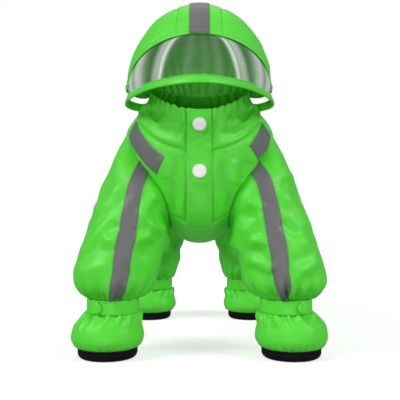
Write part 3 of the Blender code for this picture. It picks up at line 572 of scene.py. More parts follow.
def puff(distance, base, share=1.0):
    """Cloth by a seam: it rises from the stitches as 1 - exp(-distance^2), and is puckered there. share is
    how much of the usual dip the seam has."""
    at_seam = np.exp(-(distance / PUFF_WIDTH) ** 2)
    pucker = uneven("seam puckers", base) * np.exp(-(distance / PUCKER_REACH) ** 2)
    return PUFF - (PUFF + SEAM_DIP) * share * at_seam + pucker * (1 - at_seam)


def relief(name, base, normal):
    """A piece's own creases, and the crumple that all cloth has."""
    return creases(name, base, normal) + crumple(base)


PLEAT_ROUNDING = 0.015          # how round the valleys are: 0 is a sharp fold


def pleats(turn, count, seed=0):
    """Gathers round a turn, the size of a cosine: -1 in the narrow valleys and 1 on the broad crests. Slow
    sines shift them and change their depth, so that no two are alike."""
    angle = np.radians(turn)
    shifted = angle + 0.10 * np.sin(2 * angle + 1.3 + seed) + 0.06 * np.sin(5 * angle + 0.4 + 2 * seed)
    wave = 2 * np.sqrt(np.cos(count * shifted / 2) ** 2 + PLEAT_ROUNDING) - 1
    return wave * (0.8 + 0.25 * np.sin(3 * angle + seed) * np.cos(4 * angle - seed))


# ----------------------------------------------------------------------------------------------------
# Meshes

made = {}                       # each cloth piece's outer points and normals, which its stitching lies on


def quads(numbers):
    """Faces between the neighbours of a grid of numbers."""
    corners = (numbers[:-1, :-1], numbers[1:, :-1], numbers[1:, 1:], numbers[:-1, 1:])
    return np.stack([corner.ravel() for corner in corners], -1)


def add_mesh(name, points, faces, uv=None, uv_faces=None):
    """A mesh from arrays of points in millimetres and of quads, its faces turned outwards by its volume."""
    corners = points[faces]
    volume = (np.cross(corners[:, 1], corners[:, 2]) * corners[:, 0]).sum()
    volume += (np.cross(corners[:, 2], corners[:, 3]) * corners[:, 0]).sum()
    if volume < 0:
        faces = faces[:, ::-1]
        uv_faces = None if uv_faces is None else uv_faces[:, ::-1]
    mesh = bpy.data.meshes.new(name)
    mesh.vertices.add(len(points))
    mesh.vertices.foreach_set("co", ((points + (0, MIDDLE_Y, 0)) * MM).astype(np.float32).ravel())
    mesh.loops.add(faces.size)
    mesh.loops.foreach_set("vertex_index", faces.astype(np.int32).ravel())
    mesh.polygons.add(len(faces))
    mesh.polygons.foreach_set("loop_start", np.arange(0, faces.size, 4, dtype=np.int32))
    if uv is not None:
        layer = mesh.uv_layers.new(name="cut")
        layer.data.foreach_set("uv", (uv[uv_faces] * MM).astype(np.float32).ravel())
    mesh.update(calc_edges=True)
    mesh.shade_smooth()
    piece = bpy.data.objects.new(name, mesh)
    bpy.context.collection.objects.link(piece)
    return piece


def run_along(points):
    """The distance of each of a line's points from its first, along the line."""
    return np.append(0, np.cumsum(np.linalg.norm(np.diff(points, axis=0), axis=-1)))


def from_edge(base, edge):
    """Distance over the surface from one edge of a grid of points."""
    axis = 0 if edge in ("first", "last") else 1
    step = np.linalg.norm(np.diff(base, axis=axis), axis=-1)
    step = np.concatenate([np.zeros_like(np.take(step, [0], axis)), step], axis)
    if edge in ("last", "high"):
        step = np.roll(np.flip(step, axis), 1, axis)
        return np.flip(np.cumsum(step, axis), axis)
    return np.cumsum(step, axis)


def round_edge(shape, tube):
    """The open edges of a grid, as loops of its rows and columns."""
    down, over = np.arange(shape[0]), np.arange(shape[1])
    if tube:
        return [(0 * over, over), (0 * over + shape[0] - 1, over)]
    rows_ = np.concatenate([0 * over, down[1:], 0 * over[1:] + down[-1], down[-2:0:-1]])
    columns = np.concatenate([over, 0 * down[1:] + over[-1], over[-2::-1], 0 * down[-2:0:-1]])
    return [(rows_, columns)]


def shell(name, outer, inner, tube=False):
    """A closed wall between two grids of points, with a rounded edge half a thickness proud of both. Its UV
    map holds distances over the cloth, in metres."""
    down, over = outer.shape[:2]
    closed = np.concatenate([outer, outer[:, :1]], 1) if tube else outer
    uv = np.stack([from_edge(closed, "low"), from_edge(closed, "first")], -1)
    uv_grid = np.arange(closed.shape[0] * closed.shape[1]).reshape(closed.shape[:2])
    first = np.arange(down * over).reshape(down, over)
    second = first + first.size
    grids = [np.concatenate([grid, grid[:, :1]], 1) if tube else grid for grid in (first, second)]
    faces = [quads(grids[0]), quads(grids[1])[:, ::-1]]
    uv_faces = [quads(uv_grid), quads(uv_grid)[:, ::-1]]
    points = [outer.reshape(-1, 3), inner.reshape(-1, 3)]
    count = 2 * first.size
    for number, (r, c) in enumerate(round_edge((down, over), tube)):
        near_r = np.clip(r, 1, down - 2)
        near_c = c if tube else np.clip(c, 1, over - 2)
        middle = (outer[r, c] + inner[r, c]) / 2
        half = np.linalg.norm(outer[r, c] - inner[r, c], axis=-1, keepdims=True) / 2
        points.append(middle + unit(outer[r, c] - outer[near_r, near_c]) * half)
        edge = np.arange(count, count + len(r))
        count += len(r)
        strip = np.stack([second[r, c], edge, first[r, c]])
        strip = np.concatenate([strip, strip[:, :1]], 1)
        turned = quads(strip)
        flat = quads(np.concatenate([[uv_grid[r, c]] * 3, [[uv_grid[r[0], c[0]]]] * 3], 1))
        if number:
            turned, flat = turned[:, ::-1], flat[:, ::-1]
        faces.append(turned)
        uv_faces.append(flat)
    return add_mesh(name, np.concatenate(points), np.concatenate(faces), uv.reshape(-1, 2),
                    np.concatenate(uv_faces))


def dress(piece, finish, node=None, plan=None):
    """Gives a piece its material and record slot, lets it ride, puts it in a CAD node's place, and declares
    it by its plan if it is a sheet."""
    slot, make_material, *words = FINISHES[finish]
    piece.data.materials.append(make_material(*words))
    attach(piece, "root")
    if node:
        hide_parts(node)


def cloth_shell(name, base, normal, lift, plan, tube=False, finish="cloth", thickness=None):
    """A cloth piece: base moved out along normal by lift, and a second face a thickness further in."""
    thickness = thickness or bpy.context.scene.rain_suit_sizes.cloth / MM
    outer = base + normal * lift[..., None]
    inner = base + normal * (lift - thickness)[..., None]
    made[name] = (outer, normal)
    dress(shell(f"cloth_{name}", outer, inner, tube), finish, name, plan)


def profile_of(table, count):
    """A table's profile as a smooth curve with both its ends on the axis."""
    profile = table_spline(table, np.linspace(0, len(table) - 1, count))
    profile[[0, -1], 0] = 0
    return profile


def lathe(name, profile, columns, base, axis, start=None, wave=None):
    """A profile of (radius, height) turned round an axis from base. wave changes its radii and heights by the
    angle from start."""
    axis = np.array(axis, float) / np.linalg.norm(axis)
    start = np.array((0, 0, 1.0) if start is None else start)
    across = unit(np.cross(axis, start))
    up = np.cross(across, axis)
    angle = np.arange(columns) * math.tau / columns
    radius = profile[:, :1] + np.zeros(columns)
    height = profile[:, 1:] + np.zeros(columns)
    if wave is not None:
        radius, height = wave(radius, height, angle)
    ring = np.cos(angle)[:, None] * across + np.sin(angle)[:, None] * up
    points = np.array(base) + radius[..., None] * ring + height[..., None] * axis
    numbers = np.arange(radius.size).reshape(radius.shape)
    faces = quads(np.concatenate([numbers, numbers[:, :1]], 1))
    return add_mesh(name, points.reshape(-1, 3), faces)


POLE_DISTANCE = 1e-6            # metres within which a pole's points are one


def close_poles(piece):
    """Merges the points that lie together in the middle of an end."""
    work = bmesh.new()
    work.from_mesh(piece.data)
    bmesh.ops.remove_doubles(work, verts=work.verts, dist=POLE_DISTANCE)
    bmesh.ops.recalc_face_normals(work, faces=work.faces)
    work.to_mesh(piece.data)
    work.free()
    return piece


# ----------------------------------------------------------------------------------------------------
# Materials

def colour(hex_code):
    """An sRGB hex colour as linear values."""
    value = np.array([int(hex_code[k:k + 2], 16) for k in (1, 3, 5)]) / 255
    linear = np.where(value <= 0.04045, value / 12.92, ((value + 0.055) / 1.055) ** 2.4)
    return (*linear.tolist(), 1.0)


def chosen(name):
    """One of the suit's colours, as the user has it."""
    return colour(getattr(bpy.context.scene.rain_suit_colours, name))


def set_inputs(node, inputs):
    """Gives each of a node's inputs a value, or a link from another node's output."""
    for key, value in dict(inputs).items():
        if isinstance(value, bpy.types.NodeSocket):
            node.id_data.links.new(value, node.inputs[key])
        else:
            node.inputs[key].default_value = value


def add_node(tree, kind, inputs=(), **settings):
    """Adds a node with its settings, and the values and links of its inputs."""
    added = tree.nodes.new(kind)
    for key, value in settings.items():
        setattr(added, key, value)
    set_inputs(added, inputs)
    return added


def new_material(name):
    """A material, its tree of nodes and its shader."""
    found = bpy.data.materials.new(name)
    found.use_nodes = True
    tree = found.node_tree
    return found, tree, tree.nodes["Principled BSDF"]


@functools.cache
def coated_taffeta():
    """Polyester taffeta with a polyurethane coat: a satin shine, and small dry crinkles that catch light."""
    found, tree, shader = new_material("PU-coated polyester taffeta")
    where = add_node(tree, "ShaderNodeTexCoord").outputs
    # Crinkles 4 to 8 mm apart.
    crinkle = add_node(tree, "ShaderNodeTexNoise", {
        "Vector": where["Object"], "Scale": 1 / (7 * MM), "Detail": 3.0, "Roughness": 0.55,
        "Distortion": 0.6})
    # The real threads are 0.2 mm; they are drawn at 0.7 mm to show.
    thread = 0.7 * MM
    apart = add_node(tree, "ShaderNodeSeparateXYZ", {"Vector": where["UV"]})
    waves = []
    for axis in "XY":
        turn = add_node(tree, "ShaderNodeMath", {
            0: apart.outputs[axis], 1: math.tau / thread}, operation="MULTIPLY")
        waves.append(add_node(tree, "ShaderNodeMath", {0: turn.outputs[0]}, operation="SINE"))
    weave = add_node(tree, "ShaderNodeMath", {
        0: waves[0].outputs[0], 1: waves[1].outputs[0]}, operation="MULTIPLY")
    crinkle_bump = add_node(tree, "ShaderNodeBump", {
        "Height": crinkle.outputs["Fac"], "Strength": 0.4, "Distance": 0.5 * MM})
    bump = add_node(tree, "ShaderNodeBump", {
        "Height": weave.outputs[0], "Strength": 0.25, "Distance": 0.05 * MM,
        "Normal": crinkle_bump.outputs["Normal"]})
    patch = add_node(tree, "ShaderNodeTexNoise", {
        "Vector": where["Object"], "Scale": 1 / (45 * MM), "Detail": 2.0})
    tone = add_node(tree, "ShaderNodeMix", {
        "Factor": patch.outputs["Fac"], "A": chosen("cloth"), "B": chosen("cloth_deep")}, data_type="RGBA")
    rough = add_node(tree, "ShaderNodeMapRange", {
        "Value": crinkle.outputs["Fac"], "From Min": 0.3, "From Max": 0.7, "To Min": 0.42, "To Max": 0.54})
    set_inputs(shader, {
        "Base Color": tone.outputs["Result"], "Roughness": rough.outputs["Result"],
        "Normal": bump.outputs["Normal"], "Coat Weight": 0.05, "Coat Roughness": 0.35,
        "Specular IOR Level": 0.42})
    return found


@functools.cache
def reflective_tape():
    """Retro-reflective tape: a grey film of tiny glass beads on cloth, matt in light from the side."""
    found, tree, shader = new_material("Glass-bead reflective tape")
    where = add_node(tree, "ShaderNodeTexCoord").outputs
    # The beads are 0.05 mm; the grain is drawn at 0.5 mm to show.
    beads = add_node(tree, "ShaderNodeTexNoise", {
        "Vector": where["Object"], "Scale": 1 / (0.5 * MM), "Detail": 1.0})
    crease = add_node(tree, "ShaderNodeTexNoise", {
        "Vector": where["Object"], "Scale": 1 / (9 * MM), "Detail": 3.0, "Distortion": 0.5})
    bump = add_node(tree, "ShaderNodeBump", {
        "Height": crease.outputs["Fac"], "Strength": 0.4, "Distance": 0.5 * MM})
    grain = add_node(tree, "ShaderNodeBump", {
        "Height": beads.outputs["Fac"], "Strength": 0.2, "Distance": 0.05 * MM,
        "Normal": bump.outputs["Normal"]})
    tone = add_node(tree, "ShaderNodeMix", {
        "Factor": crease.outputs["Fac"], "A": chosen("tape"), "B": chosen("tape_worn")}, data_type="RGBA")
    set_inputs(shader, {
        "Base Color": tone.outputs["Result"], "Roughness": 0.5, "Metallic": 0.15,
        "Normal": grain.outputs["Normal"]})
    return found


@functools.cache
def clear_film():
    """Soft PVC film: clear and glossy, milky where it is thick or scuffed."""
    found, tree, shader = new_material("Clear soft PVC film")
    where = add_node(tree, "ShaderNodeTexCoord").outputs
    haze_and_painted_highlight = add_node(tree, "ShaderNodeTexNoise", {
        "Vector": where["Object"], "Scale": 1 / (30 * MM), "Detail": 2.0})
    # Painted reflection: the film is made milkier where it is seen edge-on, standing for the white room that
    # it reflects there.
    edge = add_node(tree, "ShaderNodeLayerWeight", {"Blend": 0.35})
    # The flutes' painted highlights: pale streaks that stand for their reflections.
    painted_highlight_streaks = add_node(tree, "ShaderNodeAttribute", attribute_name="haze_and_painted_highlight")
    scuffed = add_node(tree, "ShaderNodeMapRange", {
        "Value": haze_and_painted_highlight.outputs["Fac"], "From Min": 0.3, "From Max": 0.7, "To Min": 0.003, "To Max": 0.016})
    milkiness_and_painted_highlight = add_node(tree, "ShaderNodeMath", {
        0: scuffed.outputs["Result"], 1: painted_highlight_streaks.outputs["Fac"]}, operation="ADD")
    alpha = add_node(tree, "ShaderNodeMath", {
        0: edge.outputs["Facing"], 1: 0.05, 2: milkiness_and_painted_highlight.outputs[0]}, operation="MULTIPLY_ADD")
    set_inputs(shader, {
        "Base Color": chosen("film"), "Roughness": 0.06, "IOR": 1.53, "Alpha": alpha.outputs[0],
        "Coat Weight": 0.2, "Coat Roughness": 0.03})
    return found


@functools.cache
def sole_rubber():
    """Moulded black rubber: dark and dull, with the mould's fine grain."""
    found, tree, shader = new_material("Moulded black rubber")
    where = add_node(tree, "ShaderNodeTexCoord").outputs
    grain = add_node(tree, "ShaderNodeTexNoise", {
        "Vector": where["Object"], "Scale": 1 / (0.8 * MM), "Detail": 2.0})
    dust = add_node(tree, "ShaderNodeTexNoise", {
        "Vector": where["Object"], "Scale": 1 / (14 * MM), "Detail": 4.0})
    bump = add_node(tree, "ShaderNodeBump", {
        "Height": grain.outputs["Fac"], "Strength": 0.3, "Distance": 0.15 * MM})
    tone = add_node(tree, "ShaderNodeMix", {
        "Factor": dust.outputs["Fac"], "A": colour("#040405"), "B": colour("#0a0a0b")}, data_type="RGBA")
    rough = add_node(tree, "ShaderNodeMapRange", {
        "Value": dust.outputs["Fac"], "To Min": 0.55, "To Max": 0.8})
    set_inputs(shader, {
        "Base Color": tone.outputs["Result"], "Roughness": rough.outputs["Result"],
        "Normal": bump.outputs["Normal"], "Specular IOR Level": 0.12})
    return found


@functools.cache
def moulded_resin(name, tone):
    """Injection-moulded acetal: smooth, slightly waxy, with faint flow marks."""
    found, tree, shader = new_material(name)
    where = add_node(tree, "ShaderNodeTexCoord").outputs
    flow = add_node(tree, "ShaderNodeTexNoise", {
        "Vector": where["Object"], "Scale": 1 / (1.6 * MM), "Detail": 2.0})
    bump = add_node(tree, "ShaderNodeBump", {
        "Height": flow.outputs["Fac"], "Strength": 0.15, "Distance": 0.1 * MM})
    rough = add_node(tree, "ShaderNodeMapRange", {
        "Value": flow.outputs["Fac"], "To Min": 0.28, "To Max": 0.42})
    set_inputs(shader, {
        "Base Color": chosen(tone), "Roughness": rough.outputs["Result"],
        "Normal": bump.outputs["Normal"]})
    return found


@functools.cache
def sewing_thread(name, tone, deep):
    """Spun polyester sewing thread: twisted, duller than the cloth."""
    found, tree, shader = new_material(name)
    where = add_node(tree, "ShaderNodeTexCoord").outputs
    fuzz = add_node(tree, "ShaderNodeTexNoise", {"Vector": where["Object"], "Scale": 1 / (0.4 * MM)})
    tone = add_node(tree, "ShaderNodeMix", {
        "Factor": fuzz.outputs["Fac"], "A": chosen(tone), "B": chosen(deep)}, data_type="RGBA")
    set_inputs(shader, {"Base Color": tone.outputs["Result"], "Roughness": 0.65, "Sheen Weight": 0.3})
    return found


FINISHES = {
    # finish: its slot in the record, its material, and what that is told
    "cloth": ("coated_cloth", coated_taffeta),
    "tape": ("reflective_tape", reflective_tape),
    "film": ("clear_film", clear_film),
    "rubber": ("sole_rubber", sole_rubber),
    "white snap": ("white_snap", moulded_resin, "Moulded white acetal", "snap"),
    "green snap": ("green_snap", moulded_resin, "Moulded green acetal", "cloth"),
    "thread": ("coated_cloth", sewing_thread, "Green polyester thread", "thread", "cloth_deep"),
    "grey thread": ("reflective_tape", sewing_thread, "Grey polyester thread", "tape", "tape_worn"),
}


# ----------------------------------------------------------------------------------------------------
# Body

HOLE_STEPS = 120
STRAIGHT_STEPS = 60


def hole_edge(hole, start, end):
    return closed_spline(hole, np.linspace(start, end, HOLE_STEPS))


def straight(start, end):
    return np.linspace(start, end, STRAIGHT_STEPS)


def count_over(length, finer=1.0):
    """How many points a length in millimetres needs, spaced as a cloth mesh's are or closer by a factor."""
    return int(length / (bpy.context.scene.rain_suit_sizes.grid / MM) * finer)


def evenly(line):
    """A line of (ring, girth) places, with as many of them as it needs and evenly spaced over the body."""
    run = run_along(body(line[:, 0], line[:, 1]))
    at = np.linspace(0, run[-1], count_over(run[-1]))
    return np.stack([np.interp(at, run, line[:, k]) for k in (0, 1)], -1)


def body_edges():
    """The outer edges of the half panels, as places on the body."""
    rear = straight((RING["rear hem"], SIDE_SEAM_GIRTH), closed_spline(HIND_HOLE, 90.0))
    lower = hole_edge(HIND_HOLE, 90, 270)
    upper = hole_edge(HIND_HOLE, 90, -90)
    side = straight(lower[-1], closed_spline(ARMHOLE, SIDE_SEAM_TURN))
    under = hole_edge(ARMHOLE, SIDE_SEAM_TURN, BELLY_SEAM_TURN)
    behind = hole_edge(ARMHOLE, SIDE_SEAM_TURN, 0)
    front = hole_edge(ARMHOLE, BELLY_SEAM_TURN, 360)
    shoulder = straight(front[-1], (RING["neck seam"], NECK_FRONT_GIRTH))
    return {
        "belly": np.concatenate([rear, lower[1:], side[1:], under[1:]]),
        "back": np.concatenate([rear, upper[1:], side[1:], behind[1:], shoulder[1:]]),
        "front": np.concatenate([front, shoulder[1:]]),
    }


def half_panel(edge, first, last, middle, columns):
    """Places between the middle line, at girth middle, and a panel's outer edge. On the middle line they run
    from the ring first to the ring last, spaced as they are along the edge."""
    edge = evenly(edge)
    line = np.linspace(first, last, len(edge))
    share = np.linspace(0, 1, columns)
    ring = line[:, None] + (edge[:, :1] - line[:, None]) * share
    return ring, middle + (edge[:, 1:] - middle) * share


def whole(half, middle):
    """Joins a half panel's places with their mirror image."""
    ring, girth = half
    mirrored = 2 * middle - girth
    return np.concatenate([ring[:, :0:-1], ring], 1), np.concatenate([mirrored[:, :0:-1], girth], 1)


HEM = (7.0, 0.8, 0.8)           # width and extra thickness of a turned hem, and half the width of its step
HEM_DITCH = (1.2, 1.0)          # past its stitches: half width and depth
HOOD_DIP = 0.35                 # how much of a seam's usual dip the hood's seams have
PANEL_CALM = 9.0                # how far from a seam the relief gets its full depth
UNDER_PLACKET = (0.15, 11, 18)  # the share of their relief that the fronts have there, and where it ends
PLACKET_DITCH = (12.9, 1.1, 1.3)   # beside the placket: where, half width and depth


def hem(distance):
    """A turned hem: twice the cloth to its stitch line, then a quick step down."""
    width, rise, step = HEM
    half, depth = HEM_DITCH
    ditch = depth * np.exp(-((distance - width - half) / half) ** 2)
    return rise * (1 - smooth(distance, width - step, width + step)) - ditch


def by_placket(base, lift):
    """The fronts lie flat under the placket, and dip along its edges."""
    least, start, end = UNDER_PLACKET
    place, width, depth = PLACKET_DITCH
    across = np.abs(base[..., 0])
    ditch = depth * np.exp(-((across - place) / width) ** 2)
    return lift * (least + (1 - least) * smooth(across, start, end)) - ditch


def panel_lift(name, base, normal, sewn, hemmed=(), dip=1.0):
    """A panel's relief, calmed towards its sewn edges, with their puff and its hems."""
    near = np.min([from_edge(base, edge) for edge in sewn], axis=0)
    lift = relief(name, base, normal) * smooth(near, 0, PANEL_CALM) + puff(near, base, dip)
    for edge in hemmed:
        lift = lift + hem(from_edge(base, edge))
    return lift


def make_body_panels():
    """The back and the belly: the body's surface from its middle line out to the seams on both sides."""
    edges = body_edges()
    plans = {
        # outer edge, rings that the middle line runs between, its girth, and columns from it to the edge
        "belly": (edges["belly"], RING["rear hem"], RING["belly seam"], 0, 34),
        "back": (edges["back"], RING["rear hem"], RING["neck seam"], 180, 66),
    }
    for name, (edge, first, last, middle, columns) in plans.items():
        ring, girth = whole(half_panel(edge, first, last, middle, columns), middle)
        base, normal = sample(body, ring, girth)
        lift = panel_lift(name, base, normal, ("last", "low", "high"), ("first",))
        cloth_shell(name, base, normal, lift, name)


FRONT_COLUMNS = 44


def make_fronts():
    """Each front: the body's surface from its middle line to the armhole and the shoulder seam."""
    edge = body_edges()["front"]
    for side, sign in SIDES.items():
        name = f"chest_{side}"
        ring, girth = half_panel(edge, RING["belly seam"], RING["neck seam"], 0, FRONT_COLUMNS)
        base, normal = sample(body, ring, sign * girth)
        lift = by_placket(base, panel_lift(name, base, normal, ("first", "last", "high")))
        cloth_shell(name, base, normal, lift, "chest")


PLACKET_LENGTH = 150.0
PLACKET_FINER = 1.5             # how much closer its columns lie than the cloth's usual points
PLACKET_THICKNESS = 1.0
PLACKET_RISE = 1.9
PLACKET_BULGE = 0.5
FLAP = (0.5, 1.0, 1.2)          # its free edge, on the wearer's right: shares of its half width, and rise
SEWN_EDGE = (0.8, 1.0, 0.5)     # its sewn edge: shares of its half width, and how far it is pulled in


def placket_surface(ring, across):
    """The placket's base: a strip of even width up the middle of the front and the collar."""
    return body(ring, body_girth(ring, PLACKET_WIDTH / 2) * across / 100)


def make_placket():
    """The placket: its strip bulges as 1 - x^4 over its width, one edge free and one sewn down."""
    rows_, columns = count_over(PLACKET_LENGTH), count_over(PLACKET_WIDTH, PLACKET_FINER)
    ring = np.linspace(RING["belly seam"], RING["collar top"], rows_)[:, None]
    across = np.linspace(-100, 100, columns)[None]
    base, normal = sample(placket_surface, ring, across)
    share = across / 100
    lift = PLACKET_RISE + PLACKET_BULGE * (1 - share ** 4) + creases("placket", base, normal)
    lift = lift + uneven("placket", base) + FLAP[2] * smooth(-share, *FLAP[:2])
    lift = lift - SEWN_EDGE[2] * smooth(share, *SEWN_EDGE[:2])
    cloth_shell("placket", base, normal, lift, "placket", thickness=PLACKET_THICKNESS)


COLLAR_SIZE = (62, 190)         # its height, and half its girth
COLLAR_FINER = 1.4              # how much closer its columns lie than the cloth's usual points
COLLAR_PLEATS = (34, 1.7)       # count in a turn, and seed
COLLAR_WAVE = (1.5, 1.2)        # depth of its gathers, and how much less it is under the hood
COLLAR_FADE = 6.5               # how far down its gathers reach
COLLAR_SCALLOP = 1.0            # how far its top edge goes up and down with them
COLLAR_FLAT = 6.0               # how far from the placket its gathers get their full depth
COLLAR_CALM = 8.0               # how far from its edges its relief gets its full depth
COLLAR_BACK = (170, 174)        # girths from which it has no gathers, and from which all else is halved
COLLAR_FRONT = (100, 120)       # distances in front between which it starts to lie flat by the placket
UNDER_HOOD = (80, 115)          # girths between which the hood starts to cover it
HOOD_PRESS = (0.6, 0.4)         # there: the share of its relief that is gone, and how far it is pressed in
INSIDE_GATHERS = (2.8, 30.0)    # and its gathers go inwards: their depth, and how far down they reach


def make_collar():
    """The collar: the body's top rings, waved by pleats that fade as a bell curve from its top edge, and
    pressed and folded inwards where the hood covers it."""
    ring = np.linspace(RING["neck seam"], RING["collar top"], count_over(COLLAR_SIZE[0]))[:, None]
    girth = np.linspace(0, 180, count_over(COLLAR_SIZE[1], COLLAR_FINER))[None]
    under_hood = smooth(girth, *UNDER_HOOD)
    flattened, pressed = HOOD_PRESS
    depth, less = COLLAR_WAVE
    depth_inside, reach = INSIDE_GATHERS
    for side, sign in SIDES.items():
        name = f"collar_{side}"
        base, normal = sample(body, ring, sign * girth)
        from_top, from_bottom = from_edge(base, "last"), from_edge(base, "first")
        from_placket = np.abs(base[..., 0]) - PLACKET_WIDTH / 2
        flat = smooth(from_placket, 0, COLLAR_FLAT) * (girth < COLLAR_BACK[0])
        wave = pleats(sign * girth, *COLLAR_PLEATS)
        fade = flat * np.exp(-(from_top / COLLAR_FADE) ** 2)
        gathers = wave * fade * (depth - less * under_hood) * (1 + uneven("collar gathers", base))
        folds = np.exp(-(from_top / reach) ** 2) * under_hood * (1 - wave) / 2
        gathers = gathers - depth_inside * folds * (1 + uneven("collar folds", base))
        lift = relief(name, base, normal) * (1 - flattened * under_hood)
        lift = lift * smooth(from_bottom, 0, COLLAR_CALM) * smooth(from_top, -2, COLLAR_CALM)
        lift = lift + puff(from_bottom, base)
        front = smooth(-base[..., 1], *COLLAR_FRONT)
        lift = lift * (1 - front) + by_placket(base, lift) * front + gathers
        lift = lift * np.where(girth > COLLAR_BACK[1], 0.5, 1.0) - pressed * under_hood
        base = base + np.array([0, 0, COLLAR_SCALLOP]) * (wave * fade * (1 - under_hood))[..., None]
        cloth_shell(name, base, normal, lift, "collar")


TAPE_THICKNESS = 0.6
TAPE_TOP = 0.35 + TAPE_THICKNESS   # over the cloth under it
TAPE_COLUMNS = 22
SHOULDER_GRID = (48, 24)        # rows and columns


def lay_tape(name, base, normal, lift, plan):
    """A tape on a made piece. lift is the tape's top."""
    cloth_shell(name, base, normal, lift, plan, finish="tape", thickness=TAPE_THICKNESS)


def make_shoulder_tapes():
    """Patches between four corners, blended down and then over."""
    down, over = (np.linspace(0, 1, count) for count in SHOULDER_GRID)
    down, over = down[:, None, None], over[None, :, None]
    for side, corners in SHOULDER_TAPES.items():
        outer_top, outer_low, inner_low, inner_top = (np.array(corner) for corner in corners)
        places = ((outer_top * (1 - down) + outer_low * down) * (1 - over)
                  + (inner_top * (1 - down) + inner_low * down) * over)
        base, normal = sample(body, places[..., 0], SIDES[side] * places[..., 1])
        name, under = f"tape_shoulder_{side}", f"chest_{side}"
        lift = np.maximum(relief(under, base, normal), 0) + PUFF + TAPE_TOP
        lay_tape(name, base, normal, lift, name)


# ----------------------------------------------------------------------------------------------------
# Legs

# Gathers over the strap, in rings above it. Of their depth, a share lies under the plain surface.
GATHER_DEPTH = 3.4
GATHER_SHARE = 0.25
GATHER_FADE = (3.0, 1.0)        # where they begin, and where they have their full depth
GATHER_START = (-0.1, 0.45)     # where they come out from under the strap
SHORT_GATHERS = (0.5, 0.6, 2.3)   # finer ones: where, how far they reach, and depth
SHORT_SHARE = 0.5
LEG_CALM = (0.6, 2.0)           # and where its relief begins and gets its full depth
SEAM_CALM = 12.0                # how far from its seam its relief gets its full depth
# The step at the top of the sleeve's cap: height, turn, degrees to either side over which it fades, and rings
# down the sleeve over which it runs out.
CAP_STEP = 1.5
CAP_TURN = 342.0
CAP_FADE = (16.0, 40.0)
CAP_LENGTH = 0.8

LEG_GIRTH = 285                 # what its columns are counted over
LEG_FINER = 1.15                # how much closer its rows lie than the cloth's usual points
LEG_STEPS = 600                 # rows that are read to space its rows evenly
LEG_TUCK = 0.16                 # how far its edge goes in past the seam, in rings
LEG_KINDS = {
    # hole, rings, and gathers in a turn
    "sleeve": (ARMHOLE, SLEEVE, 16),
    "hind_leg": (HIND_HOLE, TROUSER, 15),
}


def leg_relief(kind, side, along, turn, base, normal):
    """A leg's lift: its relief, its gathers over the strap, the step at the sleeve's cap, and the seam's
    puff."""
    hole, table, count = LEG_KINDS[kind]
    above_strap = len(table) - 1 - along
    envelope = smooth(above_strap, *GATHER_FADE) * smooth(above_strap, *GATHER_START)
    height, span, depth = SHORT_GATHERS
    short = depth * np.exp(-((above_strap - height) / span) ** 2)
    sign = SIDES[side]
    lift = GATHER_DEPTH * envelope * (pleats(turn, count, sign + len(kind)) - GATHER_SHARE)
    lift = lift + short * (pleats(turn, 2 * count + 3, sign) - SHORT_SHARE)
    if kind == "sleeve":
        apart = np.abs((turn - CAP_TURN + 180) % 360 - 180)
        lift = lift + CAP_STEP * (1 - smooth(along, 0, CAP_LENGTH)) * (1 - smooth(apart, *CAP_FADE))
    surface = leg_surface(hole, table, sign)
    from_seam = np.linalg.norm(base - surface(0 * along, turn), axis=-1) * (along > 0)
    own = relief(f"{kind}_{side}", base, normal) * smooth(from_seam, 0, SEAM_CALM)
    return lift + own * smooth(above_strap, *LEG_CALM) + np.maximum(puff(from_seam, base), 0)


def leg_places(kind):
    """Rows down a leg, spaced evenly along its front, and columns round it."""
    hole, table, _ = LEG_KINDS[kind]
    surface = leg_surface(hole, table, 1)
    fine = np.linspace(-LEG_TUCK, len(table), LEG_STEPS)
    run = run_along(surface(fine, 270.0))
    down, columns = count_over(run[-1], LEG_FINER), count_over(LEG_GIRTH)
    return np.interp(np.linspace(0, run[-1], down), run, fine), np.arange(columns) * 360 / columns


def make_legs(kind):
    """The legs of one kind: the leg's surface, moved out by its own relief."""
    hole, table, _ = LEG_KINDS[kind]
    along, turn = leg_places(kind)
    along, turn = np.broadcast_arrays(along[:, None], turn[None])
    for side, sign in SIDES.items():
        name = f"{kind}_{side}"
        base, normal = sample(leg_surface(hole, table, sign), along, turn, -sign)
        lift = leg_relief(kind, side, along, turn, base, normal)
        cloth_shell(name, base, normal, lift, kind, tube=True)


TAPE_NARROWING = (1.5, 5.0, 0.88)  # the rings between which a leg's tape draws in, and its width there
TAPE_STRAPPED = 1.05            # rings from the sleeve's end at which it ends, under the strap
TAPE_FITTINGS = 3               # the relief spreads the tape, so it is cut back to its width this many times


def make_leg_tapes():
    """A band of each sleeve's surface, half a width to either side of the tape's middle line."""
    along = leg_places("sleeve")[0]
    along = along[(along > 0) & (along < len(SLEEVE) - TAPE_STRAPPED)][:, None]
    depth = np.interp(along, np.arange(1, len(SLEEVE) + 1), rows(SLEEVE)[:, 5])
    start, end, share = TAPE_NARROWING
    width = TAPE_WIDTH * (1 - (1 - share) * smooth(along, start, end))
    for side, sign in SIDES.items():
        name = f"tape_leg_{side}"
        middle = np.interp(along, SLEEVE_TAPES["along"], SLEEVE_TAPES[side])
        half = np.degrees(width / 2 / depth)
        for _ in range(TAPE_FITTINGS):
            turn = middle + half * np.linspace(-1, 1, TAPE_COLUMNS)
            rows_, columns = np.broadcast_arrays(along, turn)
            base, normal = sample(leg_surface(ARMHOLE, SLEEVE, sign), rows_, columns, -sign)
            lift = leg_relief("sleeve", side, rows_, columns, base, normal) + TAPE_TOP
            spread = np.linalg.norm(np.diff(base + normal * lift[..., None], axis=1), axis=-1).sum(1)
            half = half * width / spread[:, None]
        lay_tape(name, base, normal, lift, "tape_leg")


# ----------------------------------------------------------------------------------------------------
# Boots, soles, straps and snaps

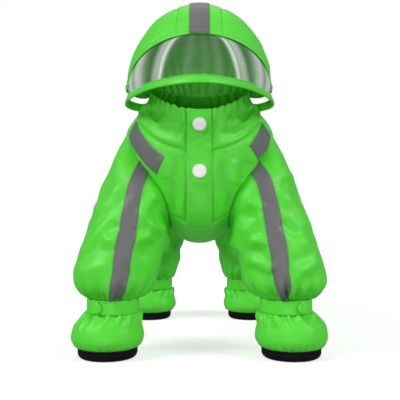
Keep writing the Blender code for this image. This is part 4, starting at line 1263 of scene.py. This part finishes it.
BOOT_PLEATS = {
    #          share depth width count
    "gather": (0.92, 3.0, 0.20, 14),
    "pucker": (0.10, 0.9, 0.07, 27),
}
BOOT_SIZE = (62, 250)           # height and girth that its rows and columns are counted over
BOOT_FINER = (1.3, 1.15)        # and how much closer they lie than the cloth's usual points
BOOT_CRUMPLE = 0.9
BOOT_SHARE = 0.45               # share of its gathers' depth that lies under the plain surface
BOOT_STRAPPED = (-0.3, 0.05)    # rings from its last between which its gathers end, under the strap


def ring_of(x, y, z, radius, turn):
    """Points round an upright axis, at a turn in degrees."""
    angle = np.radians(turn)
    return np.stack([x + radius * np.cos(angle), y + radius * np.sin(angle), z + 0 * angle], -1)


def boot_surface(foot_x, ankle_x, y, strap_z, sign):
    """A boot: rings whose radius is splined through the outline, leaning from the foot to the ankle."""
    outline = rows(BOOT)
    scale = (strap_z - UNDER_STRAP - outline[0, 0]) / (outline[-1, 0] - outline[0, 0])

    def surface(place, turn):
        place, turn = np.broadcast_arrays(np.asarray(place, float), turn)
        level, radius = np.moveaxis(table_spline(BOOT, np.minimum(place, len(BOOT) - 1)), -1, 0)
        shift = smooth(level, *LEG_SHIFT)
        above = np.maximum(place - (len(BOOT) - 1), 0) * UNDER_STRAP
        height = outline[0, 0] + (level - outline[0, 0]) * scale + above
        return ring_of(sign * (foot_x + (ankle_x - foot_x) * shift), y, height, radius, turn)
    return surface


def make_boots():
    """The boots: their surface, with gathers that fade as bell curves from the strap and from the sole."""
    last = len(BOOT) - 1
    place = np.linspace(0, last + 1, count_over(BOOT_SIZE[0], BOOT_FINER[0]))[:, None]
    columns = count_over(BOOT_SIZE[1], BOOT_FINER[1])
    turn = (np.arange(columns) * 360 / columns)[None]
    angle = np.radians(turn)
    for kind, (foot_x, ankle_x, y, strap_z) in LEGS.items():
        for side, sign in SIDES.items():
            name = f"boot_{kind}_{side}"
            base, normal = sample(boot_surface(foot_x, ankle_x, y, strap_z, sign), place, turn, -1)
            seed = len(name) + sign
            wander = (1 + 0.35 * np.sin(3 * angle + seed) * np.cos(5 * angle)
                      + 0.15 * np.sin(11 * angle + seed))
            lift = BOOT_CRUMPLE * crumple(base) * np.sin(math.pi * np.clip(place / last, 0, 1))
            for level, depth, width, count in BOOT_PLEATS.values():
                near = np.exp(-((place / last - level) / width / wander) ** 2)
                lift = lift + depth * near * (pleats(turn, count, seed) - BOOT_SHARE)
            lift = lift * (1 - smooth(place - last, *BOOT_STRAPPED))
            cloth_shell(name, base, normal, lift, f"boot_{kind}", tube=True)


SOLE_PROFILE = {
    # From the middle of the underside, round the wall and down to the middle of the floor inside.
    #             radius z
    "centre":       (0.0, 1.2),
    "tread inner":  (6.0, 1.2),
    "tread start":  (7.0, 0.0),
    "tread":        (16.0, 0.0),
    "tread end":    (26.5, 0.0),
    "curl":         (29.8, 0.9),
    "wall foot":    (31.6, 2.6),
    "wall low":     (32.5, 4.6),
    "wall":         (32.8, 7.0),
    "bead under":   (32.5, 9.2),
    "bead low":     (32.9, 9.7),
    "bead":         (33.0, 10.6),
    "bead top":     (32.6, 11.6),
    "lip":          (31.4, 12.0),
    "lip inner":    (30.2, 11.7),
    "inner wall":   (29.7, 8.0),
    "inner foot":   (29.0, 4.0),
    "floor":        (26.0, 3.2),
    "floor middle": (0.0, 3.2),
}
SOLE_GRID = (76, 108)           # rows and columns
TREAD_BARS = 18
TREAD_DEPTH = 1.1
TREAD_ROWS = (-30, -26)         # minus the rows between which the grooves end, up the wall
TREAD_RADII = (8, 10, 27, 29)   # the radii between which they come in, and go out
TREAD_CEILING = 2.0             # they are only where the profile is lower than this
TREAD_FLANK = (0.1, 0.5)        # the part of their wave that is a groove's flank


def tread(radius, height, angle):
    """Grooves across the underside: waves round the turn, only where the profile is at its lowest."""
    start, full, fading, end = TREAD_RADII
    under = smooth(-np.arange(len(radius)), *TREAD_ROWS)[:, None] * (height < TREAD_CEILING)
    under = under * smooth(radius, start, full) * smooth(end - radius, 0, end - fading)
    groove = smooth(np.cos(TREAD_BARS * angle), *TREAD_FLANK)
    return radius, np.maximum(height, 0) + TREAD_DEPTH * under * groove


def make_soles():
    """The soles: a cup's profile turned round an upright axis, with the tread cut in from below."""
    profile = profile_of(SOLE_PROFILE, SOLE_GRID[0])
    for kind, (foot_x, _, y, _) in LEGS.items():
        for side, sign in SIDES.items():
            name = f"sole_{kind}_{side}"
            middle = (sign * foot_x, y, 0)
            piece = lathe(f"rubber_{name}", profile, SOLE_GRID[1], middle, (0, 0, 1), (0, 1, 0), tread)
            dress(close_poles(piece), "rubber", name)


SECTION_POWERS = (0.35, 0.8)    # of a superellipse's height and thickness: under 1, its sides are flat


def strap_section(count):
    """A flat band's outline with rounded edges: a superellipse, as shares of half its height and half its
    thickness."""
    angle = np.arange(count) * math.tau / count
    waves = (np.sin(angle), np.cos(angle))
    return [np.sign(wave) * np.abs(wave) ** power for wave, power in zip(waves, SECTION_POWERS)]


def loop_stack(name, rings):
    """A closed solid through a stack of closed rings of points, its ends drawn to their middles."""
    caps = [np.repeat(ring.mean(0)[None], len(ring), 0) for ring in (rings[0], rings[-1])]
    points = np.concatenate([caps[:1], rings, caps[1:]])
    closed = np.concatenate([points, points[:, :1]], 1)
    uv = np.stack([from_edge(closed, "low"), from_edge(closed, "first")], -1)
    numbers = np.arange(points.size // 3).reshape(points.shape[:2])
    uv_numbers = np.arange(closed.size // 3).reshape(closed.shape[:2])
    return add_mesh(name, points.reshape(-1, 3), quads(np.concatenate([numbers, numbers[:, :1]], 1)),
                    uv.reshape(-1, 2), quads(uv_numbers))


STRAP_GRID = (220, 28)          # rings along the band, and points round its section
STRAP_WAVER = (0.25, 0.4)       # how far it bulges out, and goes up and down


def make_straps():
    """A band once round the ankle, its free end lapped over its start: a flat section carried round a
    spiral."""
    sweep = np.linspace(0, 360 + STRAP_OVERLAP, STRAP_GRID[0])
    up, out = strap_section(STRAP_GRID[1])
    radius = STRAP_INNER + (STRAP_CLOTH + SEAM) * smooth(sweep, *STRAP_RISE)
    bulge, sway = STRAP_WAVER
    for kind, (_, ankle_x, y, strap_z) in LEGS.items():
        for side, sign in SIDES.items():
            name = f"strap_{kind}_{side}"
            angle = -90 + sign * (STRAP_SNAP_TURN - STRAP_OVERLAP / 2 + sweep)
            waver = uneven("strap", ring_of(sign * ankle_x, y, strap_z, radius, angle))[:, None]
            outline = radius[:, None] + STRAP_CLOTH * (0.5 + 0.5 * out) + bulge * waver * (out > 0)
            height = strap_z + STRAP_HEIGHT / 2 * up + sway * waver
            rings = ring_of(sign * ankle_x, y, height, outline, angle[:, None])
            made[name] = (rings, np.broadcast_to(ring_of(0, 0, 0, 1, angle[:, None]), rings.shape))
            piece = loop_stack(f"cloth_{name}", rings)
            dress(close_poles(piece), "cloth", name, "strap")


SNAP_PROFILE = {
    # Shares of the radius and the height, from the back round the rim to the middle of the face.
    "back":        (0.00, 0.00),
    "back edge":   (0.90, 0.00),
    "rim low":     (0.99, 0.12),
    "rim":         (1.00, 0.36),
    "rim high":    (0.97, 0.60),
    "shoulder":    (0.88, 0.84),
    "crown":       (0.66, 0.97),
    "face":        (0.36, 1.00),
    "dimple edge": (0.16, 0.99),
    "dimple":      (0.08, 0.90),
    "middle":      (0.00, 0.88),
}


SNAP_GRID = (40, 56)            # rows and columns
SNAP_LIFT = 0.1                 # over the placket's middle


def make_snap(name, base, axis, radius, finish):
    """A snap cap: its profile turned round its axis."""
    profile = profile_of(SNAP_PROFILE, SNAP_GRID[0]) * (radius, SNAP_HEIGHT)
    piece = lathe(f"moulded_{name}", profile, SNAP_GRID[1], base, axis)
    dress(close_poles(piece), finish, name)


def make_snaps():
    """A white cap at two places of the placket, and a green one on each strap."""
    for name, ring in SNAP_RINGS.items():
        base, normal = sample(body, ring, 0.0)
        base = base + normal * (PLACKET_RISE + PLACKET_BULGE + SNAP_LIFT)
        make_snap(name, base, normal, SNAP_RADIUS, "white snap")
    for kind, (_, ankle_x, y, strap_z) in LEGS.items():
        for side, sign in SIDES.items():
            turn = -90 + sign * STRAP_SNAP_TURN
            base = ring_of(sign * ankle_x, y, strap_z, STRAP_INNER + 2 * STRAP_CLOTH + SEAM, turn)
            axis = ring_of(0, 0, 0, 1, turn)
            make_snap(f"strap_snap_{kind}_{side}", base, axis, STRAP_SNAP_RADIUS, "green snap")


# ----------------------------------------------------------------------------------------------------
# Hood and visor

HOOD_LOWERED = 0.9              # its relief, less this and times this share, keeps it at its plain height
HOOD_SHARE = 0.75
HOOD_FOLDS = (31, 1.2, 2.6, 4.5)   # folds where it's sewn to the collar: count in a turn, depth, and hoops
HOOD_FOLDS_SEED = 0.7
HOOD_LENGTH = 235               # what its rows are counted over
HOOD_WIDTHS = (50, 105)         # what the columns of the centre panel and of a side panel are counted over
HOOD_CALM = (-3, 5)             # distances from its front edge between which its relief gets its full depth
HOOD_REAR_CALM = (0, 6)         # and from its rear edge
HOOD_HEM_START = (-1, 1)        # distances from its lower edge between which that hem gets its full height
HOOD_TAPE_LENGTH = 220
HOOD_TAPE_END = 0.5             # hoops that the tape ends before the collar


def hood_lift(lift, number, angle, from_front):
    """A lift for the hood: lowered, folded where it is sewn to the collar, and hemmed in front."""
    count, depth, *hoops = HOOD_FOLDS
    lift = (lift - HOOD_LOWERED) * HOOD_SHARE
    lift = lift + depth * smooth(number, *hoops) * pleats(angle, count, HOOD_FOLDS_SEED)
    return lift * smooth(from_front, *HOOD_CALM) + hem(from_front)


def make_hood():
    """Three panels of the hood's surface, parted at the centre panel's half width from its crown line."""
    number = np.linspace(0, len(HOOD), count_over(HOOD_LENGTH))[:, None]
    edge = hood_angle(number, CENTRE_HALF)
    centre, side_panel = (count_over(width) for width in HOOD_WIDTHS)
    plans = {"hood_centre": (np.linspace(-1, 1, centre) * edge, ("low", "high"), "hood_centre")}
    for side, sign in SIDES.items():
        angle = sign * (edge + (90 - edge) * np.linspace(0, 1, side_panel))
        plans[f"hood_{side}"] = (angle, ("low",), "hood_side")
    for name, (angle, sewn, plan) in plans.items():
        base, normal = sample(hoop, number + 0 * angle, angle)
        lift = panel_lift(name, base, normal, sewn, dip=HOOD_DIP)
        lift = hood_lift(lift, number, angle, from_edge(base, "first"))
        lift = lift * smooth(from_edge(base, "last"), *HOOD_REAR_CALM)
        if plan == "hood_side":
            from_low = from_edge(base, "high")
            lift = lift + hem(from_low) * smooth(from_low, *HOOD_HEM_START)
        cloth_shell(name, base, normal, lift, plan)


def make_hood_tape():
    """A band of the hood's surface, half a width to either side of its crown line."""
    number = np.linspace(0, len(HOOD) - HOOD_TAPE_END, count_over(HOOD_TAPE_LENGTH))[:, None]
    angle = hood_angle(number, TAPE_WIDTH / 2) * np.linspace(-1, 1, TAPE_COLUMNS)
    base, normal = sample(hoop, number + 0 * angle, angle)
    lift = hood_lift(relief("hood_centre", base, normal) + PUFF, number, angle, from_edge(base, "first"))
    lay_tape("tape_hood", base, normal, lift + TAPE_TOP, "tape_hood")


SIDE_COLUMNS = 7                # places along the front edge of a side panel
FILM_SIZE = (150, 75)           # half its width and its height, that its columns and rows are counted over
FILM_OVERLAP = 3.0              # how far it goes down behind the binding's top
FILM_TUCK = (0.8, 0.08)         # how far it goes in under the hood's edge, and in what share of its height
FILM_BULGE = 1.5
FILM_THICKNESS = 0.5
PLACES = 3                      # places along the film in each of the rim's rows
FLUTES = (
    # Soft flutes in the film. Each runs from a place at its bottom to one at its top. Along each one, its
    # painted highlight makes the film milkier, a pale streak that stands for the reflections on the flute.
    # bottom top  width depth painted highlight
    (-7.6, -7.0, 0.75, 1.2, 0.66),
    (-6.1, -5.2, 0.80, 1.0, 0.48),
    (-4.6, -3.4, 0.45, -1.6, 0.00),
    (-3.55, -2.2, 0.50, 1.2, 0.26),
    (-3.15, -1.75, 0.16, 0.8, 0.62),
    (-2.3, -1.3, 0.30, -0.5, 0.00),
    (-0.9, -0.7, 0.35, 0.4, 0.03),
    (0.5, 0.4, 0.35, -0.4, 0.02),
    (1.5, 1.2, 0.30, 0.4, 0.04),
    (3.05, 1.65, 0.15, 0.8, 0.66),
    (3.6, 2.2, 0.55, 1.2, 0.30),
    (4.7, 3.3, 0.45, -1.6, 0.00),
    (5.9, 4.9, 0.75, 1.0, 0.46),
    (7.5, 6.9, 0.75, 1.2, 0.64),
)


def rim_line(place):
    """The rim's middle line. Place 0 is its front, and the other side has the places under 0."""
    points = rows(RIM)
    return curve(np.concatenate([points[:0:-1] * (-1, 1, 1), points]), np.asarray(place) + len(RIM) - 1)


def visor_lines(count):
    """The film's top and bottom lines down one side: along the hood's front edge, then its lower edge."""
    place = np.linspace(0, SIDE_COLUMNS + 2, count)
    ends = hood_angle(0.0, np.array([0, TAPE_WIDTH / 2, CENTRE_HALF]))
    angles = np.concatenate([ends, np.linspace(ends[-1], 90, SIDE_COLUMNS + 1)[1:]])
    front = hoop(0.0, np.interp(place, np.arange(len(angles)), angles))
    back = hoop(np.linspace(0, HOOD_BACK, count // 2)[1:], 90.0)
    rim = np.concatenate([np.linspace(0, RIM_CORNER, count),
                          np.linspace(RIM_CORNER, len(RIM) - 1, count // 2)[1:]])
    return np.concatenate([front, back]), rim_line(rim), rim * PLACES


def rim_frame():
    """The film's top and bottom lines from end to end, and its places along them."""
    top, rim, place = visor_lines(count_over(FILM_SIZE[0]))
    top, rim = (np.concatenate([line[:0:-1] * (-1, 1, 1), line]) for line in (top, rim))
    return top, rim, np.concatenate([-place[:0:-1], place])


def flute_crests(place, share):
    """How much each flute counts at a place, for the film's rows at share of the way down."""
    for bottom, top, width, depth, haze_and_painted_highlight in FLUTES:
        line = top + (bottom - top) * np.sqrt(share)
        yield np.exp(-((place - line) / width) ** 2), depth, haze_and_painted_highlight


def make_visor():
    """Straight lines from top to bottom, bowed out as a sine and by the flutes."""
    top, rim, place = rim_frame()
    bottom = rim + (0, 0, RIM_HEIGHT / 2 - FILM_OVERLAP)
    share = np.linspace(0, 1, count_over(FILM_SIZE[1]))[:, None]
    base = top[None] * (1 - share[..., None]) + bottom[None] * share[..., None]
    out = unit(np.cross(np.gradient(rim, axis=0), bottom - top))
    out = out * np.sign((out * (rim - RIM_MIDDLE)).sum(-1, keepdims=True))
    out = np.broadcast_to(out[None], base.shape)
    bow = np.sin(math.pi * share)
    tuck, end = FILM_TUCK
    lift = FILM_BULGE * bow + uneven("film", base) * bow - tuck * (1 - smooth(share, 0, end))
    # Painted highlights: the film is made milkier along each flute, for pale streaks that stand for the
    # reflections on its bends.
    haze_and_painted_highlight = np.zeros(base.shape[:2])
    for crest, depth, milkiness_and_painted_highlight in flute_crests(place, share):
        lift = lift + crest * depth * bow
        haze_and_painted_highlight = np.maximum(haze_and_painted_highlight, crest * milkiness_and_painted_highlight)
    cloth_shell("visor", base, out, lift, "visor", finish="film", thickness=FILM_THICKNESS)
    # The painted highlights go on the mesh, where the film's material reads them.
    edge_rows, edge_columns = round_edge(haze_and_painted_highlight.shape, False)[0]
    mesh = bpy.data.objects["cloth_visor"].data
    values = np.concatenate([haze_and_painted_highlight.ravel(), haze_and_painted_highlight.ravel(), haze_and_painted_highlight[edge_rows, edge_columns]])
    mesh.attributes.new("haze_and_painted_highlight", "FLOAT", "POINT").data.foreach_set("value", values.astype(np.float32))


RIM_LEAN = 0.3                  # how far the binding leans back as it goes up
RIM_COLUMNS = 48                # points round its section
RIM_STITCH = 2.7                # its stitches' height over its middle
RIM_PRESS = (0.64, 0.5)         # the share of its thickness that they press in, and how far up and down


def make_binding():
    """A folded strip's section round the rim: a superellipse with its stitch line pressed in."""
    _, rim, _ = rim_frame()
    along = unit(np.gradient(rim, axis=0) * (1, 1, 0))
    outward = np.cross(along, (0, 0, 1.0))[:, None]
    up, over = strap_section(RIM_COLUMNS)
    height = (RIM_HEIGHT - SEAM) / 2 * up
    press, reach = RIM_PRESS
    pressed = press * np.exp(-((height - RIM_STITCH) / reach) ** 2)
    wave = (uneven("binding", rim) + uneven("binding puckers", rim))[:, None]
    out = RIM_THICKNESS / 2 * over * (1 - pressed) + wave - RIM_LEAN * height
    points = rim[:, None] + outward * out[..., None] + np.array([0, 0, 1.0]) * height[..., None]
    made["visor_binding"] = (points, np.broadcast_to(outward, points.shape))
    piece = loop_stack("cloth_visor_binding", points)
    dress(close_poles(piece), "cloth", "visor_binding", "binding")


# ----------------------------------------------------------------------------------------------------
# Stitching

STITCH_LENGTH = 2.6
STITCH_PITCH = 3.3
STITCH_START = 0.8              # from the end of its line
THREAD_HALF = 0.24
# A stitch's rings: share of its length, of its radius, and how many radii it stands over the cloth.
STITCH_RINGS = np.array([(0.0, 0.4, -0.8), (0.15, 0.85, 0.2), (0.5, 1.0, 0.5), (0.85, 0.85, 0.2),
                         (1.0, 0.4, -0.8)])
STITCH_SIDES = 6
STITCH_ENDS = np.array([[0, 1, 2, 3], [0, 3, 4, 5], [3, 2, 1, 0], [5, 4, 3, 0]])   # two faces at each end
STRAP_STITCH = 0.86             # a strap's stitches, as a share of half its height
TOPSTITCHES = {
    # pieces: (edge, distance from it)
    "hood_centre": (("first", 6.2), ("low", 2.0), ("high", 2.0)),
    "hood_{side}": (("first", 6.2), ("high", 6.0)),
    "tape_hood": (("first", 1.2), ("first", 6.8), ("low", 1.4), ("high", 1.4)),
    "placket": (("low", 1.8), ("high", 1.8), ("last", 1.8), ("first", 1.8)),
    "collar_{side}": (("last", 5.2), ("first", 2.0)),
    "chest_{side}": (("last", 2.0), ("first", 2.0), ("high", 2.0)),
    "tape_shoulder_{side}": (("low", 1.4), ("high", 1.4), ("first", 1.4), ("last", 1.4)),
    "tape_leg_{side}": (("low", 1.4), ("high", 1.4)),
    "back": (("first", 6.0), ("last", 2.2), ("low", 2.2), ("high", 2.2)),
    "belly": (("first", 6.0), ("last", 2.2)),
}


def at_distance(name, edge, distance):
    """Points and normals on a made piece along a line at a distance from one of its edges."""
    points, normals = made[name]
    from_it = from_edge(points, edge)
    if edge in ("low", "high"):
        points, normals, from_it = points.swapaxes(0, 1), normals.swapaxes(0, 1), from_it.T
    if edge in ("last", "high"):
        points, normals, from_it = points[::-1], normals[::-1], from_it[::-1]
    across = np.arange(from_it.shape[1])
    after = np.clip((from_it < distance).sum(0), 1, len(from_it) - 1)
    before = after - 1
    part = (distance - from_it[before, across]) / (from_it[after, across] - from_it[before, across])
    part = part[:, None]
    return tuple(grid[before, across] * (1 - part) + grid[after, across] * part for grid in (points, normals))


def add_stitches(name, lines):
    """Stitches as one mesh: short bent threads laid end to end along each line, dipping in at both ends."""
    starts, ends, ups = [], [], []
    for points, normals in lines:
        run = run_along(points)
        at = np.arange(STITCH_START, run[-1] - STITCH_LENGTH, STITCH_PITCH)
        for kept, grid, offset in ((starts, points, 0), (ends, points, STITCH_LENGTH),
                                   (ups, normals, STITCH_LENGTH / 2)):
            kept.append(np.stack([np.interp(at + offset, run, grid[:, k]) for k in range(3)], -1))
    start, end, up = (np.concatenate(kept) for kept in (starts, ends, ups))
    along = unit(end - start)
    up = unit(up - along * (up * along).sum(-1, keepdims=True))
    side = np.cross(along, up)
    share, radius, height = (STITCH_RINGS[:, k][None, :, None, None] for k in range(3))
    angle = (np.arange(STITCH_SIDES) * math.tau / STITCH_SIDES)[None, None, :, None]
    start, end, up, side = (value[:, None, None] for value in (start, end, up, side))
    points = (start * (1 - share) + end * share + up * THREAD_HALF * (height + radius * np.cos(angle))
              + side * THREAD_HALF * radius * np.sin(angle))
    rings = np.arange(len(STITCH_RINGS) * STITCH_SIDES).reshape(len(STITCH_RINGS), STITCH_SIDES)
    one = np.concatenate([quads(np.concatenate([rings, rings[:, :1]], 1)), rings[0][STITCH_ENDS[:2]],
                          rings[-1][STITCH_ENDS[2:]]])
    faces = one[None] + (np.arange(len(points)) * rings.size)[:, None, None]
    finish = "grey thread" if name.startswith("tape") else "thread"
    dress(add_mesh(f"thread_{name}", points.reshape(-1, 3), faces.reshape(-1, 4)), finish)


def strip_line(name, out, level, wanted):
    """The line of stitches along a made strip: the column of its outer side whose level is nearest to the
    wanted one."""
    points, normals = made[name]
    inner_side = 2 * np.ptp(level) * (out < 0)
    column = int(np.argmin(np.abs(level - wanted) + inner_side))
    return points[:, column], normals[:, column]


def make_stitching():
    for pattern, edges in TOPSTITCHES.items():
        for name in dict.fromkeys(pattern.format(side=side) for side in SIDES):
            add_stitches(name, [at_distance(name, *edge) for edge in edges])
    up, out = strap_section(STRAP_GRID[1])
    for kind in LEGS:
        for side in SIDES:
            name = f"strap_{kind}_{side}"
            add_stitches(name, [strip_line(name, out, up, level) for level in (-STRAP_STITCH, STRAP_STITCH)])
    up, out = strap_section(RIM_COLUMNS)
    name = "visor_binding"
    add_stitches(name, [strip_line(name, out, up * (RIM_HEIGHT - SEAM) / 2, RIM_STITCH)])


# ----------------------------------------------------------------------------------------------------
# Studio

FLOOR_HALF = 4000.0
FLOOR_COUNT = 9                 # points along each side of it
WHITE = (1, 1, 1, 1)
SHEETS = {
    # Matt sheets: depth under the ground, material, colour, specular level and glow.
    "floor": (0.0, "White studio paper", "#c4c4c4", 0.0, 0.62),
    "card":  (4.0, "Glowing card", "#1c1c1c", 0.5, 0.30),
}
SUNS = {
    # Wide soft lights: from high in front to the camera's left and right, low in front, and high behind.
    #          strength size azimuth elevation
    "left":    (1.8, 22, -60, 36),
    "right":   (1.45, 22, 60, 34),
    "front":   (0.85, 30, -3, -9),
    "above":   (0.35, 40, 180, 60),
}
FILL = 0.31                     # brightness of the room around
VIEWPOINT = (0.0, -810.0, 151.0)
SENSOR = 36.0                   # millimetres, as the lens is
LENS = 55.14
SHIFT = (0.00125, 0.04875)


def lay_sheet(name, depth, finish, tone, gloss, glow):
    """A square sheet that faces up and is lit from under, as a photographer's table is, so that shadows on it
    are faint."""
    place = np.linspace(-FLOOR_HALF, FLOOR_HALF, FLOOR_COUNT)
    across, back = np.meshgrid(place, place, indexing="ij")
    points = np.stack([across, back, 0 * back - depth], -1).reshape(-1, 3)
    sheet = add_mesh(name, points, quads(np.arange(FLOOR_COUNT ** 2).reshape(FLOOR_COUNT, FLOOR_COUNT)))
    if sheet.data.polygons[0].normal.z < 0:
        sheet.data.flip_normals()
    material, _, shader = new_material(finish)
    set_inputs(shader, {"Base Color": colour(tone), "Roughness": 1.0, "Specular IOR Level": gloss,
                        "Emission Color": WHITE, "Emission Strength": glow})
    sheet.data.materials.append(material)
    return sheet


def lay_floor():
    """The floor would light the suit's underside too strongly, so the cloth doesn't see it, and sees a dim
    glowing card under it. Neither stops the low light from the front."""
    floor, card = (lay_sheet(name, *sheet) for name, sheet in SHEETS.items())
    floor.visible_diffuse = floor.visible_glossy = floor.visible_shadow = False
    card.visible_camera = card.visible_shadow = False


def set_lights():
    """A room that the camera sees white and the suit sees dim, and the soft lights."""
    scene = bpy.context.scene
    scene.view_settings.view_transform = "Standard"
    scene.world = bpy.data.worlds.new("Studio")
    scene.world.use_nodes = True
    tree = scene.world.node_tree
    rays = add_node(tree, "ShaderNodeLightPath")
    brightness = add_node(tree, "ShaderNodeMapRange", {"Value": rays.outputs["Is Camera Ray"], "To Min": FILL,
                                                       "To Max": 1.0})
    set_inputs(tree.nodes["Background"], {"Color": WHITE, "Strength": brightness.outputs["Result"]})
    for name, (strength, size, azimuth, elevation) in SUNS.items():
        light = bpy.data.lights.new(name, "SUN")
        light.energy, light.angle = strength, math.radians(size)
        lamp = bpy.data.objects.new(name, light)
        lamp.rotation_euler = (math.radians(90 - elevation), 0, math.radians(azimuth))
        bpy.context.collection.objects.link(lamp)


def stand_camera():
    """The camera stands level before the suit, where the photo was taken from."""
    lens = bpy.data.cameras.new("camera")
    lens.sensor_width, lens.lens = SENSOR, LENS
    lens.shift_x, lens.shift_y = SHIFT
    camera = bpy.data.objects.new("camera", lens)
    camera.location = (np.array(VIEWPOINT) + (0, MIDDLE_Y, 0)) * MM
    camera.rotation_euler = (math.radians(90), 0, 0)
    bpy.context.collection.objects.link(camera)
    bpy.context.scene.camera = camera


# ----------------------------------------------------------------------------------------------------
# Add-on

class RainSuitSizes(bpy.types.PropertyGroup):
    cloth: bpy.props.FloatProperty(
        name="Cloth", description="Thickness of the coated cloth", default=0.7 * MM, unit="LENGTH",
        precision=5)
    grid: bpy.props.FloatProperty(
        name="Grid", description="Distance between the points of a cloth mesh", default=1.9 * MM,
        unit="LENGTH", precision=5)


class RainSuitColours(bpy.types.PropertyGroup):
    cloth: bpy.props.StringProperty(name="Cloth", description="The cloth's colour, sRGB", default="#54d932")
    cloth_deep: bpy.props.StringProperty(
        name="Deep cloth", description="Its deeper patches", default="#4ad02a")
    tape: bpy.props.StringProperty(name="Tape", description="The reflective tape", default="#6f6f70")
    tape_worn: bpy.props.StringProperty(name="Worn tape", description="Its creases", default="#626264")
    film: bpy.props.StringProperty(name="Film", description="The visor's tint", default="#e6efe6")
    snap: bpy.props.StringProperty(name="Snap", description="The front's snap caps", default="#eceaed")
    thread: bpy.props.StringProperty(name="Thread", description="The sewing thread", default="#58d23e")


def operator(name, label, words, *steps):
    """An operator class that runs the given steps."""
    def execute(self, context):
        for step in steps:
            step()
        return {"FINISHED"}
    return type(f"RAINSUIT_OT_{name}", (bpy.types.Operator,),
                {"__doc__": words, "bl_idname": f"rain_suit.{name}", "bl_label": label, "execute": execute})


OPERATORS = (
    operator("studio", "Studio", "Lays the floor, sets the lights and stands the camera", lay_floor,
             set_lights, stand_camera),
    operator("body", "Body", "Makes the back and the belly", make_body_panels),
    operator("fronts", "Fronts", "Makes both fronts", make_fronts),
    operator("collar", "Collar", "Makes the gathered collar", make_collar),
    operator("placket", "Placket", "Makes the placket", make_placket),
    operator("sleeves", "Sleeves", "Makes the front legs", lambda: make_legs("sleeve")),
    operator("trousers", "Trousers", "Makes the hind legs", lambda: make_legs("hind_leg")),
    operator("boots", "Boots", "Makes the gathered boots", make_boots),
    operator("soles", "Soles", "Moulds the soles", make_soles),
    operator("straps", "Straps", "Makes the ankle straps", make_straps),
    operator("hood", "Hood", "Makes the hood's three panels", make_hood),
    operator("visor", "Visor", "Makes the clear visor and its binding", make_visor, make_binding),
    operator("tapes", "Tapes", "Lays the reflective tapes", make_hood_tape, make_leg_tapes,
             make_shoulder_tapes),
    operator("snaps", "Snaps", "Moulds the snap caps", make_snaps),
    operator("stitching", "Stitching", "Sews the topstitching", make_stitching),
)


class RAINSUIT_PT_panel(bpy.types.Panel):
    bl_idname = "RAINSUIT_PT_panel"
    bl_label = "Dog rain suit"
    bl_space_type = "VIEW_3D"
    bl_region_type = "UI"
    bl_category = "Rain suit"

    def draw(self, context):
        for group in (context.scene.rain_suit_sizes, context.scene.rain_suit_colours):
            for name in group.bl_rna.properties.keys():
                if name not in ("rna_type", "name"):
                    self.layout.prop(group, name)
        for made_operator in OPERATORS:
            self.layout.operator(made_operator.bl_idname)


CLASSES = (RainSuitSizes, RainSuitColours, *OPERATORS, RAINSUIT_PT_panel)


def register():
    for made_class in CLASSES:
        bpy.utils.register_class(made_class)
    bpy.types.Scene.rain_suit_sizes = bpy.props.PointerProperty(type=RainSuitSizes)
    bpy.types.Scene.rain_suit_colours = bpy.props.PointerProperty(type=RainSuitColours)


def unregister():
    del bpy.types.Scene.rain_suit_colours
    del bpy.types.Scene.rain_suit_sizes
    for made_class in reversed(CLASSES):
        bpy.utils.unregister_class(made_class)


def main():
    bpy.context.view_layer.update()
    register()
    for made_operator in OPERATORS:
        getattr(bpy.ops.rain_suit, made_operator.bl_idname.split(".")[1])()


if __name__ == "__main__":
    main()
